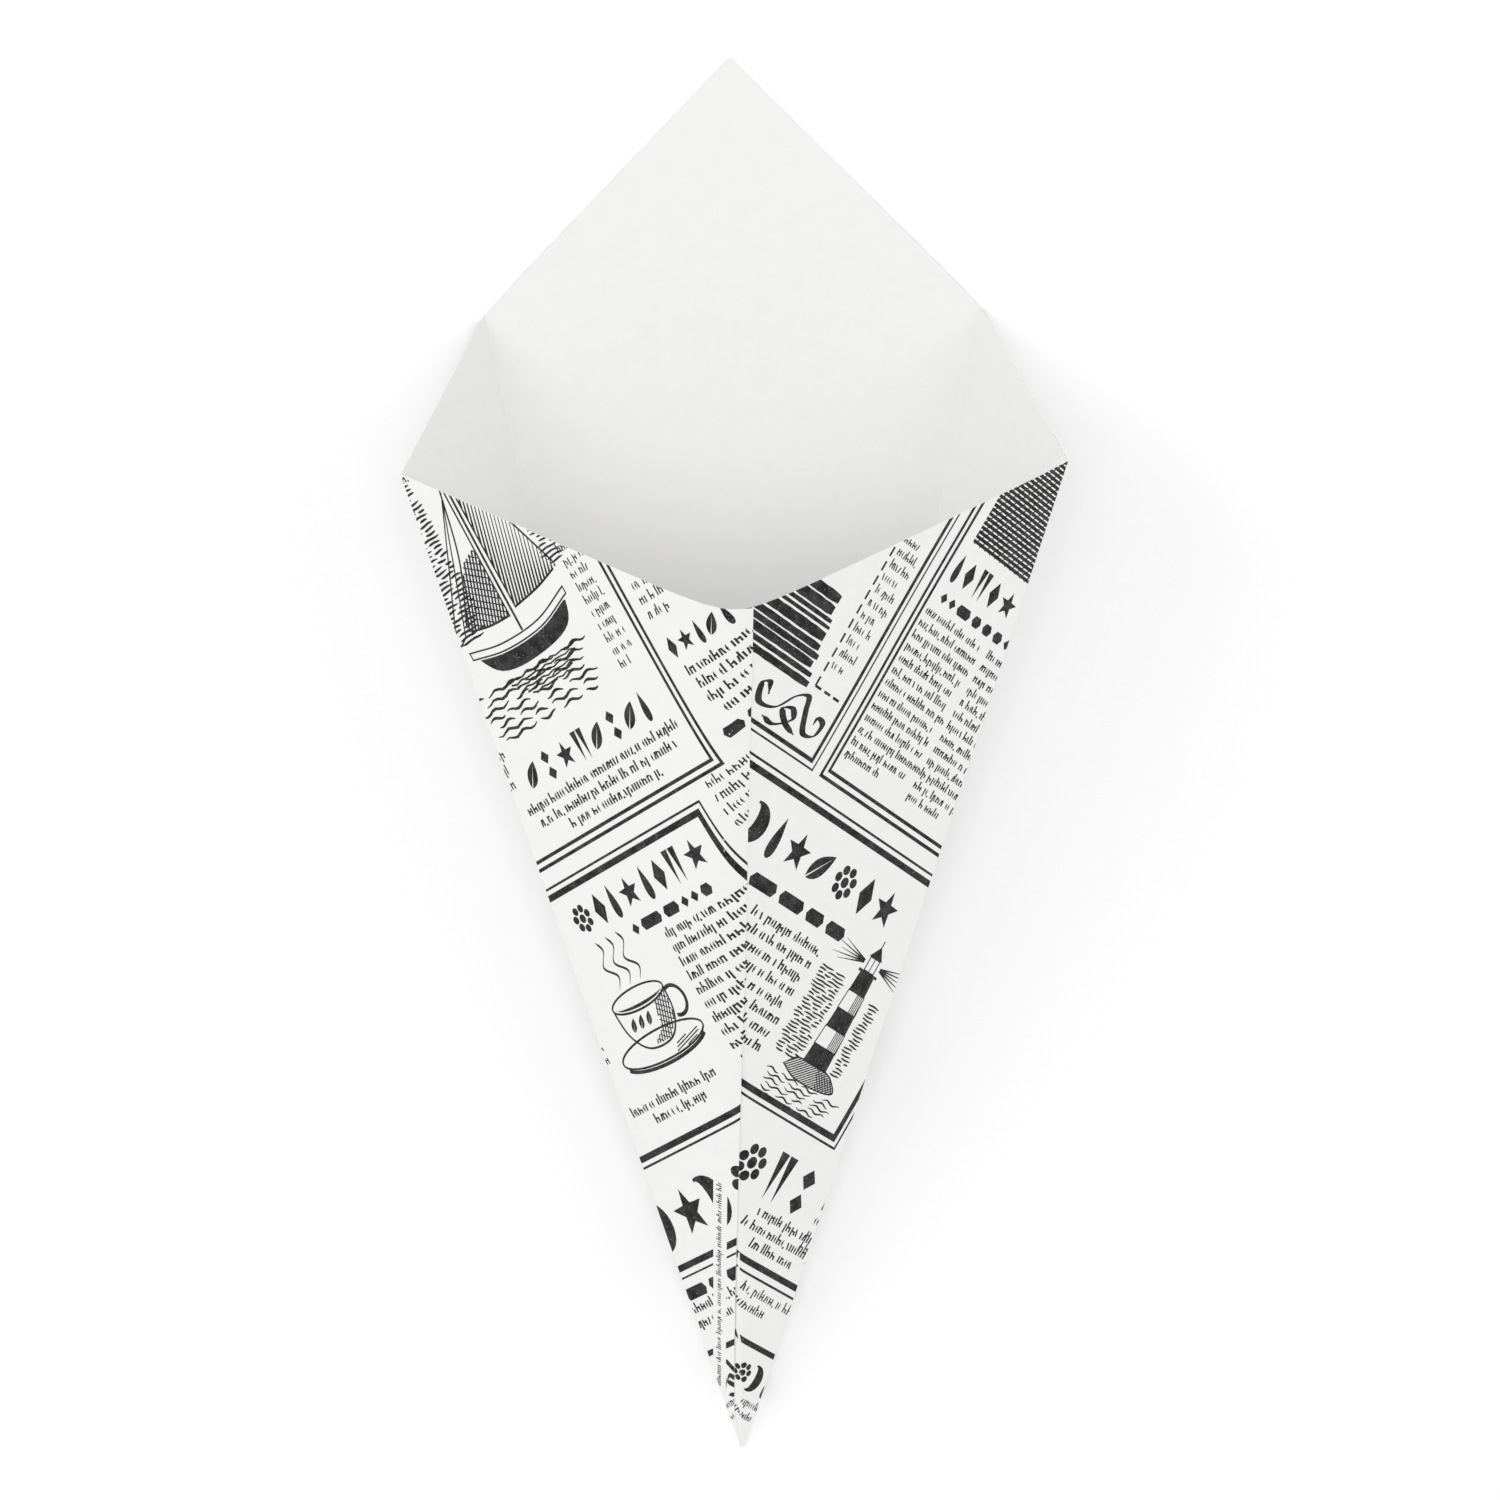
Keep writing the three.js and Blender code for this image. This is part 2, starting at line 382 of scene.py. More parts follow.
def spline(points, count=12):
    """A smooth line through the given points, as many steps a span as asked."""
    p = np.asarray(points, float)
    p = np.vstack([2 * p[0] - p[1], p, 2 * p[-1] - p[-2]])
    out = []
    for a, b, c, d in zip(p, p[1:], p[2:], p[3:]):
        for t in np.arange(count) / count:
            out.append(0.5 * (
                2 * b + (c - a) * t + (2 * a - 5 * b + 4 * c - d) * t * t
                + (3 * b - a - 3 * c + d) * t ** 3))
    out.append(p[-2])
    return np.array(out)


def arc(cx, cy, rx, ry, start, end, count=24):
    """Points of an arc of an ellipse, its angles in degrees."""
    t = np.radians(np.linspace(start, end, count + 1))
    return np.stack([cx + rx * np.cos(t), cy + ry * np.sin(t)], 1)


def evenly(points, step):
    """The same line with a point at least every step."""
    points = np.asarray(points, float)
    out = [points[:1]]
    for a, b in zip(points, points[1:]):
        count = max(1, math.ceil(np.linalg.norm(b - a) / step))
        out.append(a + (b - a) * (np.arange(1, count + 1) / count)[:, None])
    return np.concatenate(out)


class Plate:
    """The ink of one half of the sheet: flat faces in the page's own millimetres."""

    def __init__(self):
        self.points = []
        self.faces = []
        self.place()

    def place(self, x=0.0, y=0.0, turn=0.0, scale=1.0):
        """Where the next shapes are drawn: their origin, turn in degrees and scale."""
        c, s = math.cos(math.radians(turn)), math.sin(math.radians(turn))
        self.origin = np.array([x, y])
        self.matrix = scale * np.array([[c, -s], [s, c]])
        self.scale = scale

    def add(self, points, faces):
        points = np.asarray(points, float) @ self.matrix.T + self.origin
        start = len(self.points)
        self.points.extend(map(tuple, points))
        for face in faces:
            x, y = points[list(face)].T
            area = (x * np.roll(y, -1) - y * np.roll(x, -1)).sum()
            face = [start + i for i in face]
            self.faces.append(face if area > 0 else face[::-1])

    def line(self, points, width, ends=None):
        """A drawn line. The width may be one number or one for each point."""
        widths = np.broadcast_to(np.asarray(width, float), len(points))
        stepped = evenly(np.column_stack([points, widths]), STEP / self.scale)
        points, widths = stepped[:, :2], stepped[:, 2]
        along = np.diff(points, axis=0)
        length = np.linalg.norm(along, axis=1, keepdims=True)
        along = along / np.maximum(length, 1e-9)
        side = np.stack([-along[:, 1], along[:, 0]], 1)
        before = np.vstack([side[:1], side])
        after = np.vstack([side, side[-1:]])
        mitre = before + after
        mitre = mitre / np.maximum(1 + (before * after).sum(1, keepdims=True), 0.35)
        reach = mitre * widths[:, None] / 2
        if ends:
            points = points.copy()
            points[0] -= along[0] * ends
            points[-1] += along[-1] * ends
        n = len(points)
        self.add(np.vstack([points + reach, points - reach]),
                 [(i, i + n, i + n + 1, i + 1) for i in range(n - 1)])

    def loop(self, points, width):
        """A closed drawn line."""
        points = np.asarray(points, float)
        if np.allclose(points[0], points[-1]):
            points = points[:-1]
        points = evenly(np.vstack([points, points[:1]]), STEP / self.scale)[:-1]
        along = np.roll(points, -1, 0) - points
        along = along / np.linalg.norm(along, axis=1, keepdims=True)
        side = np.stack([-along[:, 1], along[:, 0]], 1)
        before = np.roll(side, 1, 0)
        mitre = before + side
        mitre = mitre / np.maximum(1 + (before * side).sum(1, keepdims=True), 0.35)
        n = len(points)
        self.add(np.vstack([points + mitre * width / 2, points - mitre * width / 2]),
                 [(i, i + n, (i + 1) % n + n, (i + 1) % n) for i in range(n)])

    def fill(self, outline):
        """A solid shape. It is cut into strips, so that it bends with the paper."""
        outline = np.asarray(outline, float)
        if np.allclose(outline[0], outline[-1]):
            outline = outline[:-1]
        triangles = tessellate_polygon([[Vector((x, y, 0)) for x, y in outline]])
        step = BEND_STEP / self.scale
        low, high = outline.min(0), outline.max(0)
        if (high - low).max() < step:
            self.add(outline, triangles)
            return
        bm = bmesh.new()
        verts = [bm.verts.new((x, y, 0)) for x, y in outline]
        for triangle in triangles:
            bm.faces.new([verts[i] for i in triangle])
        for axis, normal in enumerate(((1, 0, 0), (0, 1, 0))):
            for k in np.arange(low[axis] + step * 0.6, high[axis], step):
                bmesh.ops.bisect_plane(
                    bm, geom=[*bm.verts, *bm.edges, *bm.faces], dist=1e-5,
                    plane_co=np.array(normal) * k, plane_no=normal)
        bm.verts.index_update()
        self.add([vert.co.xy for vert in bm.verts],
                 [[vert.index for vert in face.verts] for face in bm.faces])
        bm.free()

    def bar(self, x0, y0, x1, y1):
        self.line([(x0, (y0 + y1) / 2), (x1, (y0 + y1) / 2)], y1 - y0)

    def disc(self, x, y, radius, tall=1.0):
        self.fill(arc(x, y, radius, radius * tall, 0, 360, 18))

    def hatch(self, outline, gap, angle, width, taper=0.0, wobble=0.0):
        """Engraver's lines inside an outline, thinner towards one end where taper is given."""
        outline = np.asarray(outline, float)
        c, s = math.cos(math.radians(angle)), math.sin(math.radians(angle))
        turned = outline @ np.array([[c, -s], [s, c]])
        low, high = turned[:, 1].min(), turned[:, 1].max()
        rows = int((high - low) / gap)
        back = np.array([[c, s], [-s, c]])
        for k in range(rows + 1):
            y = low + (k + 0.5) * gap
            nexts = np.roll(turned, -1, 0)
            crosses = (turned[:, 1] > y) != (nexts[:, 1] > y)
            a, b = turned[crosses], nexts[crosses]
            if len(a) < 2:
                continue
            xs = np.sort(a[:, 0] + (y - a[:, 1]) / (b[:, 1] - a[:, 1]) * (b[:, 0] - a[:, 0]))
            for x0, x1 in zip(xs[::2], xs[1::2]):
                if x1 - x0 < gap * 0.6:
                    continue
                count = max(2, math.ceil((x1 - x0) / (STEP / self.scale)))
                x = np.linspace(x0, x1, count + 1)
                share = (x - x0) / (x1 - x0)
                line = np.stack([x, y + wobble * np.sin(x * 1.7 + k)], 1)
                self.line(line @ back, width * (1 - taper * share))




def small_print(plate, x0, y0, x1, y1, pitch=LINE_PITCH, centred=False, last=0.6, bold=1.0):
    """Rows of short strokes that stand for small print and form no letters."""
    draw = random.Random(round(x0 * 131 + y0 * 17 + x1 * 7 + pitch * 1000))
    tall = pitch * 0.46
    stem = pitch * 0.115 * bold
    hair = pitch * 0.06 * bold
    marks = []

    def mark(x, y, wide, high, lean=0.0):
        marks.append([(x, y), (x + wide, y), (x + wide + lean, y + high), (x + lean, y + high)])

    def word(x, y, letters):
        for _ in range(letters):
            kind = draw.random()
            rise = draw.choice([0, 0, 0, 0, 0.5, 0.5, -0.42]) * tall
            foot = min(rise, 0)
            if kind < 0.3:
                mark(x, y + foot, stem, tall + abs(rise))
                x += stem + 0.26 * tall
            elif kind < 0.62:
                mark(x, y + foot, stem, tall + abs(rise))
                mark(x + stem, y + tall * draw.uniform(0.3, 0.75), tall * 0.34, hair * 1.5)
                mark(x + stem + tall * 0.34, y, stem, tall * draw.choice([0.6, 0.8, 1]))
                x += 2 * stem + 0.62 * tall
            elif kind < 0.85:
                mark(x + 0.2 * tall, y, hair, tall * 0.3, -0.14 * tall)
                mark(x + 0.02 * tall, y + tall * 0.3, stem, tall * 0.42)
                mark(x + 0.02 * tall, y + tall * 0.72, hair, tall * 0.28, 0.2 * tall)
                x += 0.62 * tall
            else:
                mark(x, y, stem, tall, draw.choice([-1, 1]) * 0.26 * tall)
                x += 0.55 * tall
        return x

    y = y1 - tall
    while y > y0:
        start, reach = x0, x1
        final = y - pitch <= y0
        if final:
            reach = x0 + (x1 - x0) * last
        if centred:
            trim = (x1 - x0) * (draw.uniform(0.02, 0.16) + (0.15 if final else 0))
            start, reach = x0 + trim, x1 - trim
        x = start
        while x < reach - tall:
            room = max(1, min(draw.choice([1, 2, 2, 3, 4, 4, 5, 6, 7, 8]),
                              int((reach - x) / (0.72 * tall))))
            x = word(x, y, room)
            if draw.random() < 0.12:
                mark(x, y - hair, stem, stem)
                x += 0.3 * tall
            x += tall * draw.uniform(0.42, 0.7)
        y -= pitch
    corners = [corner for four in marks for corner in four]
    plate.add(corners, [range(i, i + 4) for i in range(0, len(corners), 4)])


def lozenge(plate, x, y, wide, high):
    plate.fill([(x - wide / 2, y), (x, y - high / 2), (x + wide / 2, y), (x, y + high / 2)])


def wedge(plate, x, y, wide, high):
    plate.fill([(x - wide / 2, y + high / 2), (x, y - high / 2), (x + wide / 2, y + high / 2)])


def moon(plate, x, y, high, side):
    outer = arc(x, y, side * high * 0.5, high / 2, -105, 105, 16)
    inner = arc(x - side * high * 0.1, y, side * high * 0.17, high * 0.43, 100, -100, 14)
    plate.fill(np.vstack([outer, inner]))


def star(plate, x, y, radius, rays):
    turns = np.arange(2 * rays) * math.pi / rays + math.pi / 2
    reach = np.where(np.arange(2 * rays) % 2, radius * 0.42, radius)
    plate.fill(np.stack([x + reach * np.cos(turns), y + reach * np.sin(turns)], 1))


def leaf_halves(x, y, length, wide, turn):
    """Outlines of the two halves of a leaf, either side of a pale middle rib."""
    c, s = math.cos(math.radians(turn)), math.sin(math.radians(turn))
    t = np.linspace(0, 1, 9)
    bulge = wide / 2 * np.sin(np.pi * t ** 0.8) ** 0.9
    halves = []
    for side in (1, -1):
        rib = np.stack([t[::-1] * length, side * 0.05 * wide * (1 - t[::-1])], 1)
        rim = np.stack([t * length, side * np.maximum(bulge, 0.05 * wide * (1 - t))], 1)
        half = np.vstack([rim, rib[1:-1]]) @ np.array([[c, s], [-s, c]])
        halves.append(half + np.array([x, y]))
    return halves


def leaf(plate, x, y, length, wide, turn, style="dark"):
    """A leaf: both halves dark, or one of them, the other drawn in lines."""
    first, second = leaf_halves(x, y, length, wide, turn)
    plate.fill(first)
    if style == "dark":
        plate.fill(second)
    else:
        plate.loop(second, 0.035 * length)
        plate.hatch(second, length * 0.09, turn + 50, 0.028 * length)


def drop(plate, x, y, high, wide):
    t = np.linspace(0, 2 * math.pi, 21)[:-1]
    plate.fill(np.stack([x + wide / 2 * np.sin(t) * np.sin(t / 2) ** 1.3,
                         y + high / 2 * np.cos(t)], 1))


def rosette(plate, x, y, radius):
    plate.disc(x, y, radius * 0.3)
    for turn in np.arange(7) * 2 * math.pi / 7 + 0.3:
        plate.disc(x + 0.7 * radius * math.cos(turn), y + 0.7 * radius * math.sin(turn), radius * 0.27)


def ornament_row(plate, x0, y, x1, high, seed, dense=1.0):
    """A heading: a row of printer's ornaments, as heavy as display type."""
    draw = random.Random(seed)
    x = x0
    last = None
    while True:
        kind = draw.choice([k for k in ("moon", "wedges", "lozenge", "leaf", "star", "pair", "drop",
                                        "rosette") if k != last])
        last = kind
        wide = high * {"moon": 0.5, "rosette": 0.84, "wedges": 0.62, "lozenge": 0.5, "leaf": 0.7,
                       "star": 0.8, "pair": 0.72, "drop": 0.42}[kind]
        if x + wide > x1:
            return
        mid = x + wide / 2
        if kind == "moon":
            moon(plate, x, y, high, 1)
        elif kind == "rosette":
            rosette(plate, mid, y, high * 0.42)
        elif kind == "wedges":
            wedge(plate, x + wide * 0.25, y, wide * 0.42, high)
            wedge(plate, x + wide * 0.75, y, wide * 0.42, high)
        elif kind == "lozenge":
            lozenge(plate, mid, y, wide, high * 0.9)
        elif kind == "leaf":
            leaf(plate, x, y - high * 0.36, high * 0.98, high * 0.46, 48)
        elif kind == "star":
            star(plate, mid, y, high * 0.44, 5)
        elif kind == "pair":
            lozenge(plate, mid, y + high * 0.27, wide * 0.6, high * 0.44)
            lozenge(plate, mid, y - high * 0.27, wide * 0.6, high * 0.44)
        else:
            drop(plate, mid, y, high, wide)
        x += wide + high * 0.22 / dense


def bead_row(plate, x0, y, x1, high, seed):
    """A small heading of bars and beads."""
    draw = random.Random(seed)
    x = x0
    while x < x1 - high:
        wide = min(high * draw.choice([0.8, 1.4, 2.2, 3.0]), x1 - x)
        if wide < high:
            lozenge(plate, x + high / 2, y, high, high)
            x += high * 1.4
        else:
            plate.fill([(x, y), (x + high * 0.3, y - high / 2), (x + wide - high * 0.3, y - high / 2),
                        (x + wide, y), (x + wide - high * 0.3, y + high / 2),
                        (x + high * 0.3, y + high / 2)])
            x += wide + high * 0.45


def frame_lines(plate, x0, y0, x1, y1, widths, gap):
    """Rules round a box, the first one outermost."""
    inset = 0.0
    for width in widths:
        a, b = x0 + inset + width / 2, y0 + inset + width / 2
        c, d = x1 - inset - width / 2, y1 - inset - width / 2
        plate.loop([(a, b), (c, b), (c, d), (a, d)], width)
        inset += width + gap


def dashes(plate, x0, y0, x1, y1, width, dash, gap):
    length = math.hypot(x1 - x0, y1 - y0)
    count = int(length / (dash + gap))
    for k in range(count):
        a, b = k * (dash + gap) / length, (k * (dash + gap) + dash) / length
        plate.line([(x0 + (x1 - x0) * a, y0 + (y1 - y0) * a),
                    (x0 + (x1 - x0) * b, y0 + (y1 - y0) * b)], width)


def nib(plate, points, thin, thick, slant=35):
    """A line drawn with a broad nib: thick one way, thin the other, pointed at both ends."""
    points = evenly(points, 0.7 / plate.scale)
    along = np.gradient(points, axis=0)
    turn = np.arctan2(along[:, 1], along[:, 0]) - math.radians(slant)
    width = thin + (thick - thin) * np.abs(np.sin(turn)) ** 1.5
    share = np.linspace(0, 1, len(points))
    width = width * np.clip(np.minimum(share, 1 - share) * 14, 0.25, 1)
    plate.line(points, width)


def flourish(plate, x, y, wide, high, thick, turn=0.0):
    """A pen flourish: one long double curve with curled ends, and a shorter one across it."""
    plate.place(x, y, turn)
    long = spline([(-0.36, 0.05), (-0.42, 0.3), (-0.5, 0.2), (-0.42, -0.18), (-0.2, -0.12),
                   (-0.02, 0.3), (0.14, 0.42), (0.2, 0.1), (0.3, -0.34), (0.46, -0.3),
                   (0.5, 0.02), (0.4, 0.1), (0.38, -0.08)], 10)
    short = spline([(-0.3, -0.42), (-0.12, -0.48), (0.08, -0.2), (0.02, 0.02), (-0.1, -0.08),
                    (0.02, -0.34), (0.2, -0.48)], 10)
    for path in (long, short):
        nib(plate, path * np.array([wide, high]), thick * 0.22, thick)
    plate.place()


def scroll_border(plate, x0, y, x1, high, thick):
    """A running scroll between two rules."""
    count = max(1, round((x1 - x0) / (high * 1.9)))
    span = (x1 - x0) / count
    for k in range(count):
        x = x0 + k * span
        curl = spline([(x, y - high * 0.4), (x + span * 0.3, y - high * 0.34),
                       (x + span * 0.62, y + high * 0.3), (x + span * 0.9, y + high * 0.3),
                       (x + span * 0.94, y - high * 0.02), (x + span * 0.74, y - high * 0.05)], 6)
        plate.line(curl, thick * np.linspace(1, 0.5, len(curl)))


def sun_rays(plate, x, y, inner, outer, start, end, count, width):
    for k, turn in enumerate(np.radians(np.linspace(start, end, count))):
        reach = outer * (1 if k % 2 else 0.8)
        way = np.array([math.cos(turn), math.sin(turn)])
        plate.line([np.array([x, y]) + way * inner, np.array([x, y]) + way * reach], [width, 0.1])


def water(plate, x0, x1, y, rows, gap, width):
    draw = random.Random(round(x0 * 10 + y))
    for k in range(rows):
        x = x0 + draw.uniform(0, 6)
        shore = x1 - k * 1.5
        while x < shore - 3:
            reach = min(x + draw.uniform(5, 16), shore)
            if reach - x > 2:
                t = np.linspace(x, reach, 10)
                swell = y - k * gap + 0.45 * np.sin(t * 0.9 + k * 1.7)
                plate.line(np.stack([t, swell], 1), width * np.sin(np.linspace(0.3, 2.8, 10)))
            x = reach + draw.uniform(1.2, 4)


def sailing_boat(plate):
    """A boat under sail with its reflection, about 48 wide and 60 high."""
    deck = spline([(-21, 1.5), (-8, -0.6), (8, -0.4), (22, 3)], 6)
    keel = spline([(22, 3), (17, -5.2), (2, -7.6), (-13, -6.2), (-21, 1.5)], 6)
    strake = deck + np.array([0, -1.8])
    plate.loop(np.vstack([deck, strake[::-1]]), 0.4)
    plate.fill(np.vstack([strake[1:-1] + np.array([0, -0.5]), keel[2:-2]]))
    plate.line([(1, -0.5), (1.6, 47)], 0.8)
    main = np.vstack([spline([(3, 44), (14, 27), (24, 8)], 8), spline([(24, 8), (14, 6), (3, 5)], 6)])
    plate.loop(main, 0.55)
    plate.hatch(main, 1.2, 68, 0.72, 0.7)
    fore = np.vstack([spline([(0, 41), (-7, 22), (-18, 6)], 8), spline([(-18, 6), (-9, 4.4), (-0.6, 4)], 6)])
    plate.loop(fore, 0.55)
    low_fore = [(-16.2, 8), (-18, 6), (-9, 4.6), (-0.8, 4.2), (-0.6, 22), (-7.2, 20)]
    plate.hatch(low_fore, 1.1, 60, 0.6)
    plate.hatch(low_fore, 1.6, -28, 0.3)
    jib = [(-1, 37), (-25, 3.2), (-19.4, 5.2)]
    plate.loop(jib, 0.4)
    plate.fill(spline([(1.6, 47), (5, 48.4), (9, 46.6), (8.6, 44.2), (5, 45.6), (1.6, 44.4)], 4))
    water(plate, -30, 25, -9.4, 7, 1.9, 0.75)
    plate.hatch([(-15, -9), (17, -9), (10, -15), (-6, -15)], 1.0, 0, 0.5, 0.3, 0.25)
    for x, y in ((17, 40), (24, 35), (-16, 36), (-22, 30)):
        plate.line(spline([(x - 2.6, y + 0.9), (x - 1.2, y + 1), (x, y), (x + 1.3, y + 1.1),
                           (x + 2.8, y + 0.8)], 4), 0.36)


def balloon(plate):
    """A hot-air balloon over clouds, about 38 wide and 62 high."""
    t = np.linspace(0, 1, 25)
    half = 17.5 * np.sin(np.pi * np.clip(t, 0, 1) ** 0.78) ** 0.72
    half[-1] = 2.6
    half = np.maximum(half, np.where(t > 0.8, 2.6, 0))
    height = 50 - 40 * t
    edges = [np.stack([s * half, height], 1) for s in (-1, -0.72, -0.28, 0.28, 0.72, 1)]
    for k, (a, b) in enumerate(zip(edges, edges[1:])):
        gore = np.vstack([a, b[::-1]])
        if k % 2:
            plate.fill(gore)
        else:
            plate.hatch(gore, 1.15, 0, 0.42, 0.5 if k else 0.0)
    plate.line(edges[0], 0.5)
    plate.line(edges[-1], 0.5)
    plate.line(edges[2], 0.3)
    plate.line(edges[3], 0.3)
    for x in (-2.6, -0.9, 0.9, 2.6):
        plate.line([(x, 10), (x * 1.1, 3.2)], 0.3)
    basket = [(-3.4, 3.2), (3.4, 3.2), (2.7, -2.2), (-2.7, -2.2)]
    plate.loop(basket, 0.5)
    plate.hatch(basket, 0.8, 45, 0.34)
    plate.hatch(basket, 0.8, -45, 0.34)
    plate.bar(-4, 2.9, 4, 3.8)
    for x, y, size in ((-17, 2, 1.0), (17, 6, 0.8), (12, -7, 1.1)):
        for k, (dx, r) in enumerate(((-5, 2.2), (-1.4, 3.4), (3, 2.6), (6.2, 1.7))):
            plate.line(arc(x + dx * size, y, r * size, r * size, 15, 165, 8), 0.42)
        plate.line([(x - 8 * size, y - 0.4), (x + 9 * size, y - 0.4)], 0.36)
        plate.line([(x - 5 * size, y - 1.7), (x + 5 * size, y - 1.7)], 0.3)


def umbrella(plate):
    """An open umbrella in the rain, about 40 wide and 44 high."""
    ribs = [-19, -12, -4.2, 4.2, 12, 19]
    top = (0, 36)

    def rib_line(x):
        return spline([top, (x * 0.62, 33.2 - abs(x) * 0.12), (x * 0.92, 25), (x, 17)], 6)

    for k, (a, b) in enumerate(zip(ribs, ribs[1:])):
        scallop = spline([(b, 17), ((a + b) / 2, 19.6), (a, 17)], 5)
        panel = np.vstack([rib_line(a), scallop[::-1][1:], rib_line(b)[::-1][1:]])
        if k % 2 == 0:
            plate.fill(panel)
        else:
            plate.loop(panel, 0.5)
            plate.hatch(panel, 1.3, 90 - (a + b) * 1.4, 0.42, 0.2)
    plate.line([(0, 36), (0, 39.5)], 0.9)
    plate.line([(0, 18), (0, -2)], 0.8)
    plate.line(np.vstack([[(0, -2)], arc(3.1, -2.4, 3.1, 3.6, 180, 350, 12)]), 1.3)
    draw = random.Random(4)
    for _ in range(26):
        x, y = draw.uniform(-23, 23), draw.uniform(22, 44)
        if abs(x) > 20 or y > 39 - abs(x) * 0.35:
            plate.line([(x, y), (x - 0.9, y - 3.2)], 0.3)
    water(plate, -17, 18, -7.5, 3, 1.6, 0.5)


def fish(plate):
    """A fish, about 50 long and 20 high."""
    back = spline([(24, 0), (18, 5.6), (6, 8.6), (-8, 6), (-18, 1.6)], 8)
    belly = spline([(-18, -1.2), (-8, -5.6), (6, -7.4), (18, -4.6), (24, 0)], 8)
    body = np.vstack([back, belly])
    plate.loop(body, 0.6)
    tail = [(-17.6, 1.7), (-23, 6.4), (-27.5, 9.2), (-25, 0.4), (-27, -8.6), (-22.6, -5.6), (-17.6, -1.3)]
    plate.loop(tail, 0.5)
    plate.hatch(tail, 1.0, 8, 0.45)
    plate.fill(np.vstack([spline([(10, 8.4), (4, 13.2), (-6, 11.4), (-9, 6.4)], 5), back[18:9:-1]]))
    fin = [(4, -7.6), (-1, -12), (-6, -11), (-4, -6.8)]
    plate.loop(fin, 0.45)
    plate.hatch(fin, 0.9, 60, 0.4)
    plate.line(arc(13.6, 0.2, 3.4, 6.2, 80, 285, 14), 0.6)
    plate.disc(18.6, 1.8, 1.05)
    plate.line(arc(18.6, 1.8, 1.9, 1.9, 0, 360, 14), 0.35)
    plate.line([(24, -0.2), (20.8, -1.5)], 0.4)
    for k in range(12):
        x = 9.2 - k * 2.15
        reach = 6.2 * math.sin(math.pi * (x + 21) / 46)
        for j in range(-3, 4):
            y = 0.4 + j * 2.0 + (k % 2)
            if abs(y) < reach:
                plate.line(arc(x, y, 1.25, 1.05, 105, 255, 6), 0.38)
    low = [(22, -1.6), (10, -6.3), (-6, -5.2), (-16, -1.2), (-6, -3.4), (8, -4.4), (18, -2.4)]
    plate.hatch(low, 0.75, 3, 0.36)


def tea_cup(plate):
    """A cup on its saucer, steaming, about 38 wide and 34 high."""
    plate.line(arc(0, 14, 12, 3.0, 0, 360, 28), 0.55)
    plate.fill(np.vstack([arc(0, 13.8, 10.6, 2.1, 180, 360, 16), arc(0, 13.6, 10.6, 1.0, 0, -180, 16)[::-1][::-1]]))
    bowl = np.vstack([arc(0, 14, 12, 3, 180, 360, 16),
                      spline([(12, 14), (10.6, 6), (5, 0.6), (-5, 0.6), (-10.6, 6), (-12, 14)], 6)[1:]])
    plate.loop(bowl, 0.6)
    shade = [(11.6, 13.4), (10.2, 5.6), (5, 0.8), (-3, 0.8), (3, 4), (5.4, 11.2)]
    plate.hatch(shade, 0.95, 62, 0.42)
    plate.hatch(shade, 1.5, -32, 0.3)
    for x in (-8, -4.4, -0.8):
        leaf(plate, x, 6.2, 4.2, 2.0, 60)
    plate.line(arc(13.6, 8.8, 4.4, 4.2, 110, -120, 16), 1.1)
    plate.line(arc(0, 0.2, 19, 4.2, 0, 360, 34), 0.6)
    plate.line(arc(0, -0.6, 19, 4.4, 200, 340, 20), 1.0)
    plate.hatch([(6, -0.6), (17.4, 0.2), (14, -2.4), (4, -3.6)], 0.8, 12, 0.34)
    for x in (-5, 0, 5):
        nib(plate, spline([(x, 18), (x + 2.2, 21.4), (x - 1.6, 25), (x + 1.6, 29), (x + 0.2, 32)], 6),
            0.2, 0.75)


def sprig(plate, leaves=9):
    """A leafy sprig with berries, about 44 long."""
    stem = spline([(-22, -7), (-10, -3.5), (4, 0.5), (16, 2.2), (25, 1.4)], 8)
    plate.line(stem, np.linspace(0.9, 0.35, len(stem)))
    for k in range(leaves):
        x, y = stem[int((k + 0.7) * (len(stem) - 2) / leaves)]
        side = 1 if k % 2 else -1
        leaf(plate, x, y, 10.5 - 0.35 * k, 4.6, 14 + side * (52 - 2.5 * k), "half")
        plate.line([(x + 1, y), (x + 3.2, y - side * 3.4)], 0.3)
        plate.disc(x + 3.4, y - side * 4.2, 0.95)
    leaf(plate, 25, 1.4, 9, 3.8, -6, "half")


